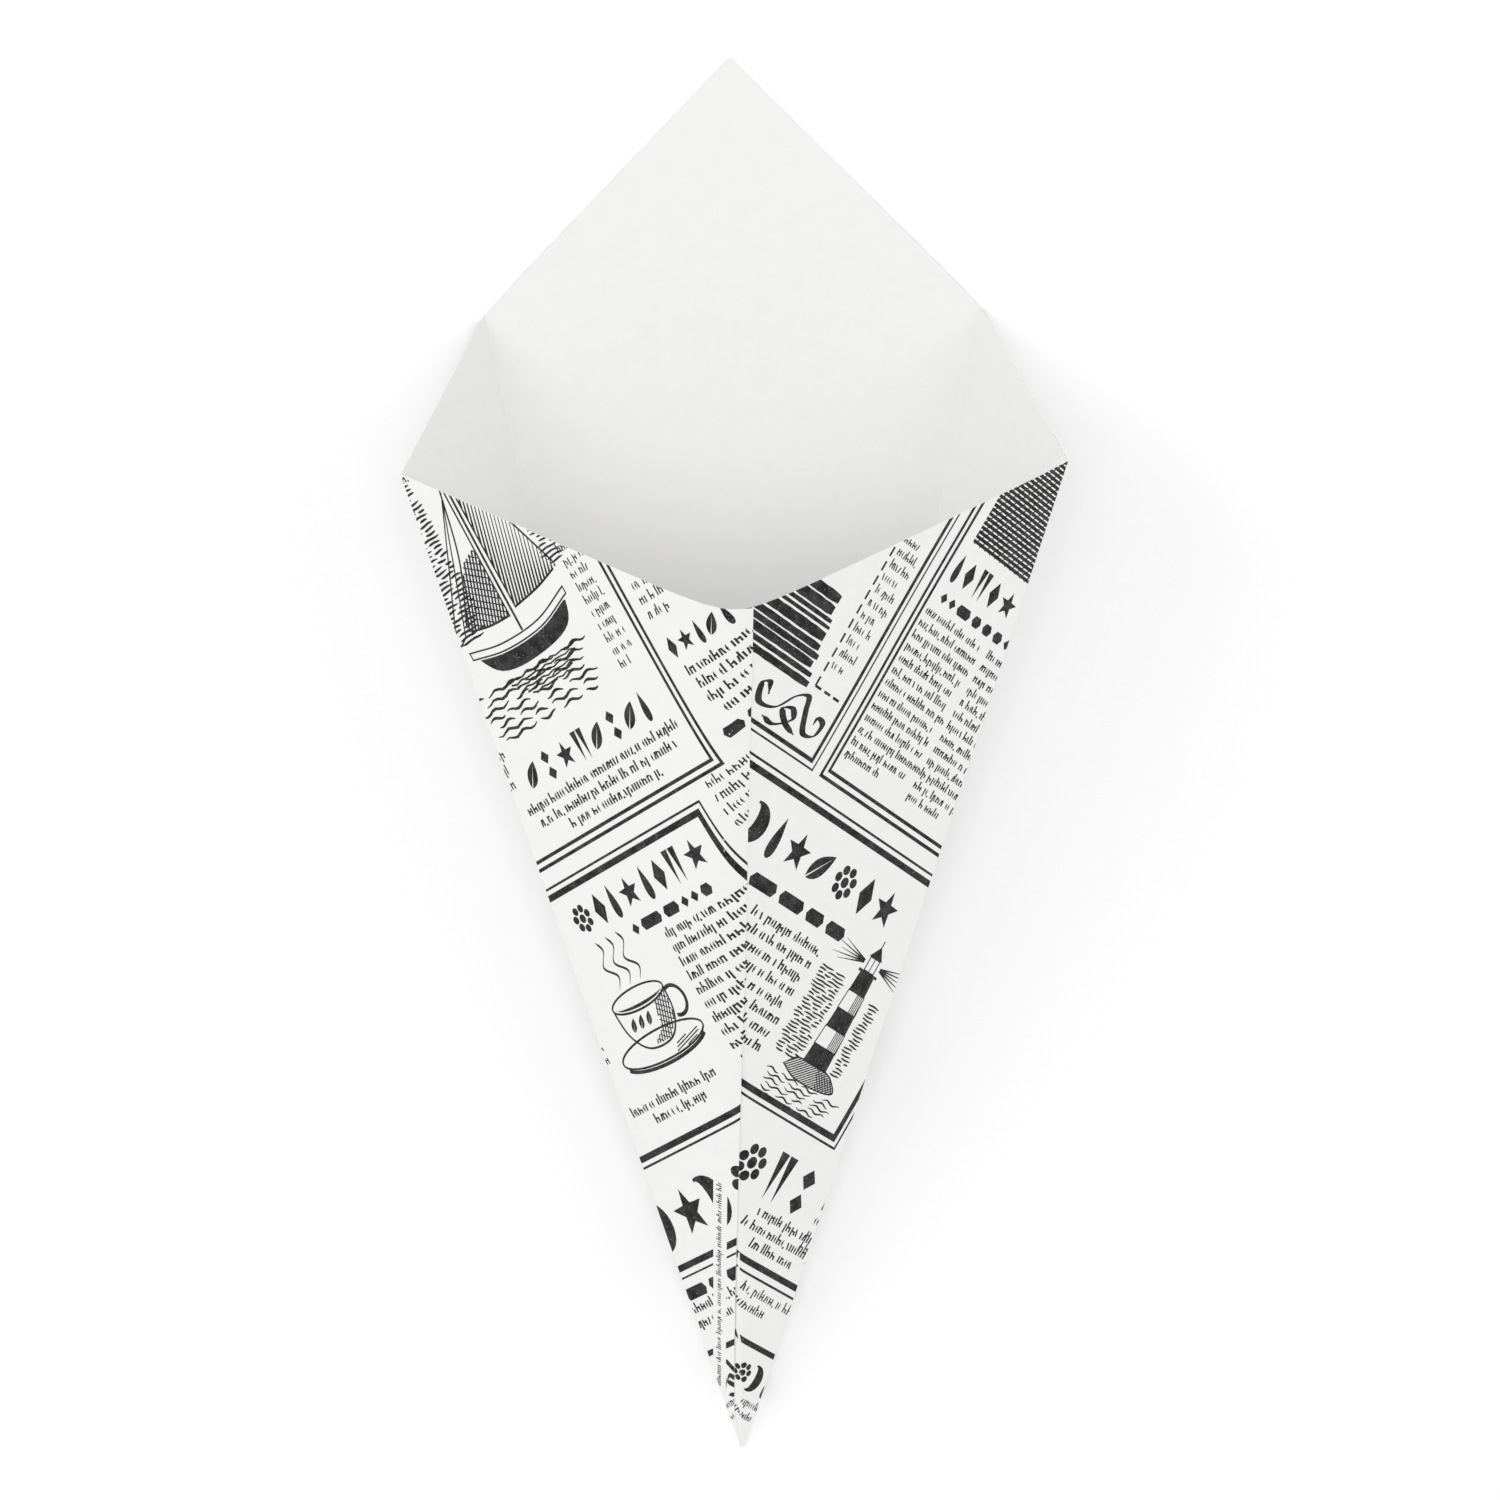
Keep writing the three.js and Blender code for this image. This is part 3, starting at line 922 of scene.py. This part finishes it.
def lighthouse(plate):
    """A banded lighthouse on rocks, about 40 wide and 56 high."""
    bands = 5
    for k in range(bands):
        y0, y1 = 4 + k * 7, 11 + k * 7
        w0, w1 = 7 - 0.075 * (y0 - 4), 7 - 0.075 * (y1 - 4)
        w0, w1 = w0 - 0.03 * k, w1 - 0.03 * k
        band = [(-w0, y0), (w0, y0), (w1, y1), (-w1, y1)]
        if k % 2 == 0:
            plate.fill(band)
        else:
            plate.loop(band, 0.45)
            plate.hatch([(w0 * 0.1, y0), (w0, y0), (w1, y1), (w1 * 0.1, y1)], 0.95, 90, 0.42)
    plate.bar(-5.6, 39, 5.6, 40)
    lantern = [(-2.8, 40), (2.8, 40), (2.8, 45), (-2.8, 45)]
    plate.loop(lantern, 0.5)
    plate.line([(0, 40), (0, 45)], 0.4)
    plate.fill([(-3.8, 45), (3.8, 45), (0, 49.4)])
    plate.line([(0, 49), (0, 51.6)], 0.5)
    sun_rays(plate, 3.4, 42.6, 1.5, 20, 12, -14, 5, 0.7)
    sun_rays(plate, -3.4, 42.6, 1.5, 20, 168, 194, 5, 0.7)
    rocks = spline([(-15, 0), (-11, 3.6), (-7, 4.4), (0, 5), (8, 4.2), (12, 2.8), (16, -0.6), (8, -2.4),
                    (-6, -2.6), (-15, 0)], 4)
    plate.loop(rocks, 0.5)
    plate.hatch(rocks, 0.9, 35, 0.5)
    plate.hatch([(2, 4), (12, 2.6), (16, -0.6), (6, -2.2)], 1.1, -40, 0.4)
    water(plate, -22, 23, -3.6, 6, 1.7, 0.65)


def high_wheel(plate):
    """A high-wheeled bicycle, about 42 wide and 40 high."""
    for x, y, radius, spokes in ((6, 15, 14.6, 30), (-17.5, 5.2, 4.8, 12)):
        plate.line(arc(x, y, radius, radius, 0, 360, 48), 0.85)
        plate.line(arc(x, y, radius - 1.2, radius - 1.2, 0, 360, 44), 0.28)
        plate.disc(x, y, radius * 0.09)
        for turn in np.arange(spokes) * 2 * math.pi / spokes:
            way = np.array([math.cos(turn), math.sin(turn)])
            plate.line([np.array([x, y]) + way * radius * 0.1,
                        np.array([x, y]) + way * (radius - 1.3)], 0.2)
    plate.line(spline([(6.5, 32.5), (-4, 30.6), (-12.6, 20.4), (-17.5, 5.2)], 8), 1.15)
    plate.line([(6, 15), (6.8, 34)], 1.1)
    plate.line(spline([(3.6, 36.6), (6.8, 34.4), (10.4, 35.4)], 5), 0.9)
    plate.fill(spline([(-2.6, 33.4), (2, 34.2), (4.6, 33.2), (0, 31.6), (-2.6, 33.4)], 4))
    plate.line([(6, 15), (8.4, 10.6)], 0.8)
    plate.bar(7, 9.8, 10.4, 10.8)
    plate.line([(-24, 0), (23, 0)], 0.45)
    for k in range(9):
        x = -22 + k * 5.2
        plate.line([(x, -1.2), (x + 3.4, -1.2)], 0.3)


def clock_face(plate):
    """A round clock dial without numbers, 32 across."""
    plate.line(arc(0, 0, 16, 16, 0, 360, 48), 1.1)
    plate.line(arc(0, 0, 14.2, 14.2, 0, 360, 44), 0.3)
    for k in range(60):
        turn = math.radians(6 * k)
        way = np.array([math.cos(turn), math.sin(turn)])
        inner, width = (10.6, 0.9) if k % 5 == 0 else (13, 0.25)
        plate.line([way * inner, way * 13.8], width)
    for turn, length, width in ((128, 8.2, 1.4), (38, 11.6, 1.0)):
        way = np.array([math.cos(math.radians(turn)), math.sin(math.radians(turn))])
        plate.line([-way * 2.5, way * length], [width, width * 0.3])
    plate.disc(0, 0, 1.3)


def sky_lines(plate, x0, x1, y0, y1, gap, width):
    """Broken level lines that shade a sky, thinner towards their ends."""
    draw = random.Random(round(x0 * 3 + y0 * 7 + x1))
    rows = int((y1 - y0) / gap)
    for k in range(rows):
        x = x0 + draw.uniform(0, 2.5)
        while x < x1 - 2:
            reach = min(x + draw.uniform(3, 11), x1 + draw.uniform(-1.5, 0))
            if reach - x > 1.5:
                t = np.linspace(x, reach, 6)
                y = y0 + k * gap + 0.12 * np.sin(t + k)
                plate.line(np.column_stack([t, y]), width * np.array([0.4, 1, 1, 1, 0.9, 0.3]))
            x = max(reach, x + 1.5) + draw.uniform(0.7, 1.6)


def engraved_block(plate, x0, y0, x1, y1):
    """A dark block of lines cut with a graver: thick and thin, with ragged ends."""
    draw = random.Random(17)
    y = y0
    while y < y1:
        thick = draw.uniform(0.7, 2.3)
        end = x1 + draw.uniform(-0.9, 0.7) - (y - y0) * 0.24
        t = np.linspace(x0, end, 22)
        widths = thick * (1 + 0.05 * np.sin(t * 1.3 + y) + 0.03 * np.sin(t * 3.7 + 2 * y))
        widths[-1] = thick * 0.8
        plate.line(np.column_stack([t, np.full(22, y + thick / 2)]), widths)
        y += thick + draw.uniform(0.25, 0.5)


def strip_page(plate):
    """One line of marks along the bare strip beside the glued edge."""
    small_print(plate, 14, 6.2, 65, 7.3, pitch=2.1, last=1.0)


def left_page(plate):
    """The print of the left half of the sheet. Its right side is the glued free edge."""
    text = functools.partial(small_print, plate)

    frame_lines(plate, 20, 126, 103, 252, (0.75, 0.75), 0.95)
    plate.place(68, 170.5, 0, 0.86)
    sailing_boat(plate)
    sky_lines(plate, -24, -9, 4, 46, 1.15, 0.6)
    sky_lines(plate, 20, 29, 9, 30, 1.15, 0.5)
    plate.place()
    ornament_row(plate, 47, 144, 99, 6.6, 3)
    text(40, 129.5, 99, 138.5, centred=True, bold=1.3)
    text(91, 150, 98.5, 186, pitch=2.9)
    text(23, 140, 43, 246)
    bead_row(plate, 23, 249, 60, 2.6, 8)
    text(47, 205, 68, 226)

    bead_row(plate, 107, 131, 124, 2.4, 5)
    text(106, 133.5, 128, 146, centred=True, bold=1.3)
    ornament_row(plate, 106.5, 151, 128, 5.2, 21)
    text(106, 155, 118, 166)
    plate.bar(105.5, 110, 140, 110.8)
    text(96, 112, 120, 125)

    frame_lines(plate, 12, 62, 92, 122.5, (0.5, 1.4), 0.9)
    ornament_row(plate, 37, 113.5, 88, 7.6, 12)
    bead_row(plate, 53, 106.3, 84, 2.5, 6)
    plate.place(43.5, 83, 0, 0.78)
    tea_cup(plate)
    plate.place()
    text(62, 66, 88, 103, bold=1.3)
    text(20, 66.5, 57, 74, centred=True, bold=1.25)
    text(15, 79, 25, 118, pitch=2.9)

    ornament_row(plate, 11, 50, 54, 12, 31)
    plate.bar(-2, 39.6, 46, 41.0)
    plate.bar(-2, 38.0, 46, 38.4)
    bead_row(plate, 9, 34.6, 30, 2.6, 9)
    text(8, 24, 34, 32, bold=1.3)
    plate.bar(-2, 21.2, 30, 22.4)
    flourish(plate, 9, 15.6, 13, 7, 1.3, 8)
    text(2, 6, 14, 11, pitch=2.6)

    frame_lines(plate, -38, 126, 17, 252, (1.6, 0.4), 0.9)
    ornament_row(plate, -34, 244, 14, 7.5, 15)
    bead_row(plate, -32, 236, 10, 2.4, 16)
    text(-34, 212, -11, 232)
    text(-8, 212, 14, 232)
    plate.place(-8, 158, 0, 0.92)
    balloon(plate)
    plate.place()
    text(-32, 128.5, -8, 146)
    text(-5, 128.5, 14, 146)

    frame_lines(plate, -24, 62, 9, 122.5, (0.4, 0.4, 1.2), 0.8)
    bead_row(plate, -18, 117, 5, 2.6, 18)
    plate.place(-4, 86, 0, 0.62)
    umbrella(plate)
    plate.place()
    text(-14, 66, 6, 80)

    text(-10, 24, 5, 36)
    text(-10, 42, 9, 58)
    bead_row(plate, -60, 258, 18, 3.2, 19)
    text(-44, 262, 12, 282)
    plate.bar(-60, 254.6, 30, 255.6)
    text(64, 230, 100, 248)


def right_page(plate):
    """The print of the right half of the sheet. Its left side goes under the left flap."""
    text = functools.partial(small_print, plate)

    frame_lines(plate, -160, 126.5, -92, 262, (0.4, 0.9), 0.9)
    engraved_block(plate, -150, 139.5, -107, 158)
    flourish(plate, -107.3, 134.4, 21.5, 9, 1.6, 4)
    dashes(plate, -104.5, 141, -104.5, 190, 0.55, 2.1, 1.2)
    dashes(plate, -104.5, 141, -93.5, 141, 0.55, 2.1, 1.2)
    text(-103, 143, -96.5, 176, pitch=2.9)

    frame_lines(plate, -89.5, 126.5, -26, 252, (0.75, 0.75), 0.95)
    ornament_row(plate, -85, 177, -52, 6.4, 41)
    bead_row(plate, -84, 170.4, -56, 2.3, 42)
    text(-86, 131, -64, 167, pitch=2.75, bold=1.25)
    text(-61.5, 131, -42, 167, pitch=2.75, bold=1.25)
    plate.hatch([(-84, 183), (-58, 183), (-58, 214), (-84, 214)], 1.05, 0, 0.72)
    plate.hatch([(-84, 183), (-58, 183), (-58, 214), (-84, 214)], 1.6, 52, 0.3)
    text(-55, 172, -30, 246)
    text(-39, 130, -29, 168)

    frame_lines(plate, -124, 64, -24, 123, (0.5, 1.4), 0.9)
    ornament_row(plate, -109, 111.5, -42, 9.2, 52)
    bead_row(plate, -97, 102.2, -57, 2.9, 53)
    text(-86, 68, -62, 97.5, bold=1.3)
    plate.place(-44, 74, 0, 0.62)
    lighthouse(plate)
    sky_lines(plate, -25, -8, 3, 36, 1.25, 0.62)
    sky_lines(plate, 8, 16, 5, 33, 1.25, 0.62)
    plate.place()
    bead_row(plate, -92, 83, -88, 2.2, 54)

    ornament_row(plate, -50, 53.2, -14, 10.5, 61)
    text(-40, 37.5, -10, 46, centred=True, bold=1.25)
    plate.bar(-50, 34.6, 6, 36.0)
    plate.bar(-50, 32.8, 6, 33.3)
    text(-28, 23, -6, 31)
    plate.bar(-30, 20, 6, 21.2)
    ornament_row(plate, -16, 14.6, -2, 6, 64)
    text(-9, 5, 1, 10, pitch=2.6)

    frame_lines(plate, -21.5, 64, 20, 123, (0.8, 0.35), 0.8)
    bead_row(plate, -17, 117.6, 8, 2.6, 71)
    plate.place(-3, 84, 0, 0.7)
    high_wheel(plate)
    plate.place()
    text(-17, 67, 5, 81)

    frame_lines(plate, -23.5, 126.5, 32, 252, (1.5, 0.4), 0.9)
    ornament_row(plate, -19, 243.5, 25, 8, 81)
    bead_row(plate, -18, 235, 22, 2.4, 82)
    text(-20, 206, 0, 231)
    text(3, 206, 24, 231)
    plate.place(2, 188, 0, 0.78)
    fish(plate)
    plate.place()
    text(-20, 168, 17, 178, centred=True)
    plate.place(-3, 149, 0, 0.85)
    clock_face(plate)
    plate.place()
    text(-20, 129, 14, 132)
    plate.bar(-60, 255, 40, 256)
    text(-12, 259, 26, 280)
    text(-6, 24, 4, 34)
    text(-18, 42, 6, 60)


def cut_flat(bm, at, normal):
    """Cuts all the flat print along a line through a point, across the normal."""
    bmesh.ops.bisect_plane(
        bm, geom=[*bm.verts, *bm.edges, *bm.faces], dist=1e-6,
        plane_co=(*at, 0), plane_no=(*normal, 0))


def left_of(start, end, points):
    """Whether the points lie left of the way from start to end."""
    way = np.subtract(end, start)
    offset = points - start
    return way[0] * offset[:, 1] - way[1] * offset[:, 0] > 0


def across(start, end):
    way = np.subtract(end, start)
    return np.array([-way[1], way[0]]) / np.linalg.norm(way)


def half_corners(on_left):
    """Corners of the printed side of one half: bottom of the V, side corner and point."""
    side = -1 if on_left else 1
    half_angle = POINT_HALF_ANGLE + side * CUT_SKEW
    way = np.array([math.sin(half_angle), -math.cos(half_angle)])
    point = flat_point(SHEET_LENGTH, 0)
    corner_radius = ray_to_line(point, point + way, QUARTER)
    return (np.array([SEAM_TOP_OFFSET, FRONT_LENGTH]), flat_point(corner_radius, side * QUARTER),
            flat_point(SHEET_LENGTH, side * RIDGE))


def trim_print(bm, on_left, bare_strip):
    """Cuts the print along the sheet's edges and creases and deletes what falls outside."""
    side = -1 if on_left else 1
    bottom, corner, point = half_corners(on_left)
    start = np.array([SEAM_TIP_OFFSET, 0.0])
    seam = across(start, bottom)
    tip_line = (0.0, PRINT_START)
    crease = flat_point(1, side * QUARTER)
    lines = [(start, seam), (bottom, across(bottom, corner)), (corner, across(corner, point)),
             (tip_line, (0, 1)), ((0, 0), across((0, 0), point)),
             ((0, 0), across((0, 0), flat_point(1, side * (RIDGE - BACK_HALF)))),
             ((0, 0), across((0, 0), crease))]
    lines += [((0, 0), across((0, 0), flat_point(1, side * math.radians(f))))
              for f in RIDGE_CUTS]
    if on_left:
        lines += [(start + seam * reach, seam) for reach in SEAM_CUTS]
        lines.append(((0, BARE_STRIP_LENGTH), (0, 1)))
    else:
        lines.append((start + seam * UNDERLAP, seam))
    for at, normal in lines:
        cut_flat(bm, at, normal)

    centres = np.array([face.calc_center_median().xy for face in bm.faces])
    gone = (left_of((0, 0), point, centres) == on_left) | (centres[:, 1] < PRINT_START)
    in_front = left_of((0, 0), crease, centres) != on_left
    past_front = left_of(bottom, corner, centres) != on_left
    past_back = left_of(corner, point, centres) != on_left
    gone |= np.where(in_front, past_front, past_back)
    from_edge = (centres - start) @ seam
    gone |= (from_edge < 0) if on_left else (from_edge > UNDERLAP)
    if bare_strip:
        bare = (from_edge > BARE_STRIP_START) & (from_edge < BARE_STRIP_END)
        gone |= bare & (centres[:, 1] < BARE_STRIP_LENGTH)
    bm.faces.ensure_lookup_table()
    bmesh.ops.delete(bm, geom=[bm.faces[k] for k in np.flatnonzero(gone)], context="FACES")


def fold_print(plate, name, page_turn, on_left, bare_strip):
    """Turns the flat ink of one half into thin closed shapes on the folded sheet."""
    c, s = math.cos(page_turn), math.sin(page_turn)
    flat = np.asarray(plate.points) @ np.array([[c, s], [-s, c]])
    mesh = bpy.data.meshes.new(name)
    mesh.from_pydata(np.c_[flat, np.zeros(len(flat))].tolist(), [], plate.faces)
    bm = bmesh.new()
    bm.from_mesh(mesh)
    trim_print(bm, on_left, bare_strip)
    bm.to_mesh(mesh)
    bm.free()
    places = np.empty(len(mesh.vertices) * 3)
    mesh.vertices.foreach_get("co", places)
    x, y = places.reshape(-1, 3)[:, 0], places.reshape(-1, 3)[:, 1]
    folded = fold(RIDGE - np.arctan2(x, y), np.hypot(x, y), on_left, -INK_SINK)
    mesh.vertices.foreach_set("co", ((folded + shift) * MM).ravel())
    mesh.update()
    ink = bpy.data.objects.new(name, mesh)
    bpy.context.scene.collection.objects.link(ink)
    bpy.ops.object.select_all(action="DESELECT")
    bpy.context.view_layer.objects.active = ink
    ink.select_set(True)
    film = ink.modifiers.new("film", "SOLIDIFY")
    film.thickness = (INK_RISE + INK_SINK) * MM
    film.offset = 1
    bpy.ops.object.modifier_apply(modifier=film.name)
    print(name, "faces", len(mesh.polygons), "triangles",
          sum(len(p.vertices) - 2 for p in ink.data.polygons))
    return ink


def plain_material(name, colour, roughness, gloss=0.5):
    material = bpy.data.materials.new(name)
    material.use_nodes = True
    shader = material.node_tree.nodes["Principled BSDF"]
    shader.inputs["Base Color"].default_value = (*colour, 1)
    shader.inputs["Roughness"].default_value = roughness
    shader.inputs["Specular IOR Level"].default_value = gloss
    return material


def noise_node(nodes, links, vector, scale, detail):
    noise = nodes.new("ShaderNodeTexNoise")
    noise.inputs["Scale"].default_value = scale
    noise.inputs["Detail"].default_value = detail
    links.new(vector, noise.inputs["Vector"])
    return noise


def grain_group():
    """Cloudy formation, fibres and rare specks of bleached paper, over the flat sheet in metres."""
    group = bpy.data.node_groups.new("paper_grain", "ShaderNodeTree")
    socket = group.interface.new_socket
    socket("Place", in_out="INPUT", socket_type="NodeSocketVector")
    socket("Light", in_out="INPUT", socket_type="NodeSocketColor")
    socket("Cloud", in_out="INPUT", socket_type="NodeSocketColor")
    socket("Speck", in_out="INPUT", socket_type="NodeSocketColor")
    socket("Color", in_out="OUTPUT", socket_type="NodeSocketColor")
    socket("Normal", in_out="OUTPUT", socket_type="NodeSocketVector")
    nodes, links = group.nodes, group.links
    inside, outside = nodes.new("NodeGroupInput"), nodes.new("NodeGroupOutput")
    cloud = noise_node(nodes, links, inside.outputs["Place"], 260, 5)
    fibre = noise_node(nodes, links, inside.outputs["Place"], 2400, 3)
    swell = noise_node(nodes, links, inside.outputs["Place"], 45, 2)
    spread = nodes.new("ShaderNodeMapRange")
    spread.inputs["From Min"].default_value = 0.35
    spread.inputs["From Max"].default_value = 0.7
    links.new(cloud.outputs["Fac"], spread.inputs["Value"])
    clouded = nodes.new("ShaderNodeMix")
    clouded.data_type = "RGBA"
    links.new(spread.outputs["Result"], clouded.inputs["Factor"])
    links.new(inside.outputs["Light"], clouded.inputs[6])
    links.new(inside.outputs["Cloud"], clouded.inputs[7])
    specks = nodes.new("ShaderNodeTexVoronoi")
    specks.inputs["Scale"].default_value = 85
    specks.inputs["Randomness"].default_value = 1
    links.new(inside.outputs["Place"], specks.inputs["Vector"])
    near = nodes.new("ShaderNodeMapRange")
    near.inputs["From Min"].default_value = 0.034
    near.inputs["From Max"].default_value = 0.018
    links.new(specks.outputs["Distance"], near.inputs["Value"])
    rare = nodes.new("ShaderNodeSeparateColor")
    links.new(specks.outputs["Color"], rare.inputs["Color"])
    chosen = nodes.new("ShaderNodeMath")
    chosen.operation = "GREATER_THAN"
    chosen.inputs[1].default_value = 0.86
    links.new(rare.outputs[0], chosen.inputs[0])
    both = nodes.new("ShaderNodeMath")
    both.operation = "MULTIPLY"
    links.new(near.outputs["Result"], both.inputs[0])
    links.new(chosen.outputs[0], both.inputs[1])
    specked = nodes.new("ShaderNodeMix")
    specked.data_type = "RGBA"
    links.new(both.outputs[0], specked.inputs["Factor"])
    links.new(clouded.outputs[2], specked.inputs[6])
    links.new(inside.outputs["Speck"], specked.inputs[7])
    links.new(specked.outputs[2], outside.inputs["Color"])
    fine = nodes.new("ShaderNodeBump")
    fine.inputs["Strength"].default_value = 0.25
    fine.inputs["Distance"].default_value = 0.00006
    links.new(fibre.outputs["Fac"], fine.inputs["Height"])
    broad = nodes.new("ShaderNodeBump")
    broad.inputs["Strength"].default_value = 0.35
    broad.inputs["Distance"].default_value = 0.0012
    links.new(swell.outputs["Fac"], broad.inputs["Height"])
    links.new(fine.outputs["Normal"], broad.inputs["Normal"])
    links.new(broad.outputs["Normal"], outside.inputs["Normal"])
    return group


def paper_material(name, light, cloud, roughness, gloss, grain):
    material = plain_material(name, light, roughness, gloss)
    nodes, links = material.node_tree.nodes, material.node_tree.links
    place = nodes.new("ShaderNodeUVMap")
    place.uv_map = "flat_sheet"
    effect = nodes.new("ShaderNodeGroup")
    effect.node_tree = grain
    effect.inputs["Light"].default_value = (*light, 1)
    effect.inputs["Cloud"].default_value = (*cloud, 1)
    effect.inputs["Speck"].default_value = (0.36, 0.34, 0.31, 1)
    links.new(place.outputs["UV"], effect.inputs["Place"])
    links.new(effect.outputs["Color"], nodes["Principled BSDF"].inputs["Base Color"])
    links.new(effect.outputs["Normal"], nodes["Principled BSDF"].inputs["Normal"])
    return material


def ink_material():
    """Printing ink that covers the paper unevenly, with small gaps where the paper shows through."""
    material = plain_material("ink", (0.012, 0.011, 0.011), 0.62, 0.16)
    nodes, links = material.node_tree.nodes, material.node_tree.links
    place = nodes.new("ShaderNodeTexCoord")
    patches = noise_node(nodes, links, place.outputs["Object"], 420, 3)
    pores = noise_node(nodes, links, place.outputs["Object"], 3100, 2)
    cover = nodes.new("ShaderNodeMapRange")
    cover.inputs["From Min"].default_value = 0.35
    cover.inputs["From Max"].default_value = 0.75
    cover.inputs["To Max"].default_value = 0.09
    links.new(patches.outputs["Fac"], cover.inputs["Value"])
    gaps = nodes.new("ShaderNodeMapRange")
    gaps.inputs["From Min"].default_value = 0.64
    gaps.inputs["From Max"].default_value = 0.72
    gaps.inputs["To Max"].default_value = 0.5
    links.new(pores.outputs["Fac"], gaps.inputs["Value"])
    total = nodes.new("ShaderNodeMath")
    total.operation = "MAXIMUM"
    links.new(cover.outputs["Result"], total.inputs[0])
    links.new(gaps.outputs["Result"], total.inputs[1])
    mixed = nodes.new("ShaderNodeMix")
    mixed.data_type = "RGBA"
    mixed.inputs[6].default_value = (0.009, 0.0085, 0.0085, 1)
    mixed.inputs[7].default_value = (0.5, 0.49, 0.48, 1)
    links.new(total.outputs[0], mixed.inputs["Factor"])
    links.new(mixed.outputs[2], nodes["Principled BSDF"].inputs["Base Color"])
    return material


grain = grain_group()
papers = []
for name, light, cloud, roughness, gloss in (
        ("printed_side", (0.885, 0.883, 0.876), (0.86, 0.857, 0.848), 0.5, 0.3),
        ("plain_side", (0.852, 0.85, 0.845), (0.838, 0.836, 0.83), 0.7, 0.2),
        ("cut_edge", (0.9, 0.895, 0.885), (0.88, 0.872, 0.858), 0.8, 0.1)):
    papers.append(paper_material(name, light, cloud, roughness, gloss, grain))
grid = sheet_grid()
shift = part_shift(grid[..., :3], cad_box)
sheet = make_sheet(grid, shift, papers)
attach(sheet, "root")
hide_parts("paper_cone")

ink_surface = ink_material()
for name, page_turn, on_left, bare_strip, draw_page in (
        ("print_left_half", LEFT_PAGE_TURN, True, True, left_page),
        ("print_right_half", RIGHT_PAGE_TURN, False, False, right_page),
        ("print_bare_strip", STRIP_PAGE_TURN, True, False, strip_page)):
    plate = Plate()
    draw_page(plate)
    ink = fold_print(plate, name, page_turn, on_left, bare_strip)
    ink.data.materials.append(ink_surface)
    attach(ink, "root")

bpy.ops.object.select_all(action="DESELECT")
bpy.ops.mesh.primitive_plane_add(size=6, location=(0, 0, 0))
floor = bpy.context.object
floor.name = "floor"
floor.data.transform(floor.matrix_world)
floor.matrix_world.identity()
floor.data.materials.append(plain_material("pale_floor", (1, 1, 1), 0.6))

world = bpy.data.worlds.new("studio")
world.use_nodes = True
bpy.context.scene.world = world
world.node_tree.nodes["Background"].inputs["Color"].default_value = (1, 1, 1, 1)
world.node_tree.nodes["Background"].inputs["Strength"].default_value = WORLD_LIGHT

for name, size, power, place in LAMPS:
    lamp_data = bpy.data.lights.new(name, "AREA")
    lamp_data.size = size
    lamp_data.energy = power
    lamp = bpy.data.objects.new(name, lamp_data)
    bpy.context.scene.collection.objects.link(lamp)
    lamp.location = place
    lamp.rotation_euler = (-lamp.location).to_track_quat("-Z", "Y").to_euler()

camera_data = bpy.data.cameras.new("camera")
camera_data.sensor_width = SENSOR_WIDTH
camera_data.lens = SENSOR_WIDTH * CAMERA_HEIGHT / (PHOTO_WIDTH * FLOOR_SCALE)
camera = bpy.data.objects.new("camera", camera_data)
bpy.context.scene.collection.objects.link(camera)
camera.location = (*CAMERA_POINT, CAMERA_HEIGHT)
camera.rotation_euler = (0, 0, CAMERA_TURN)
bpy.context.scene.camera = camera
bpy.context.scene.view_settings.view_transform = "Standard"
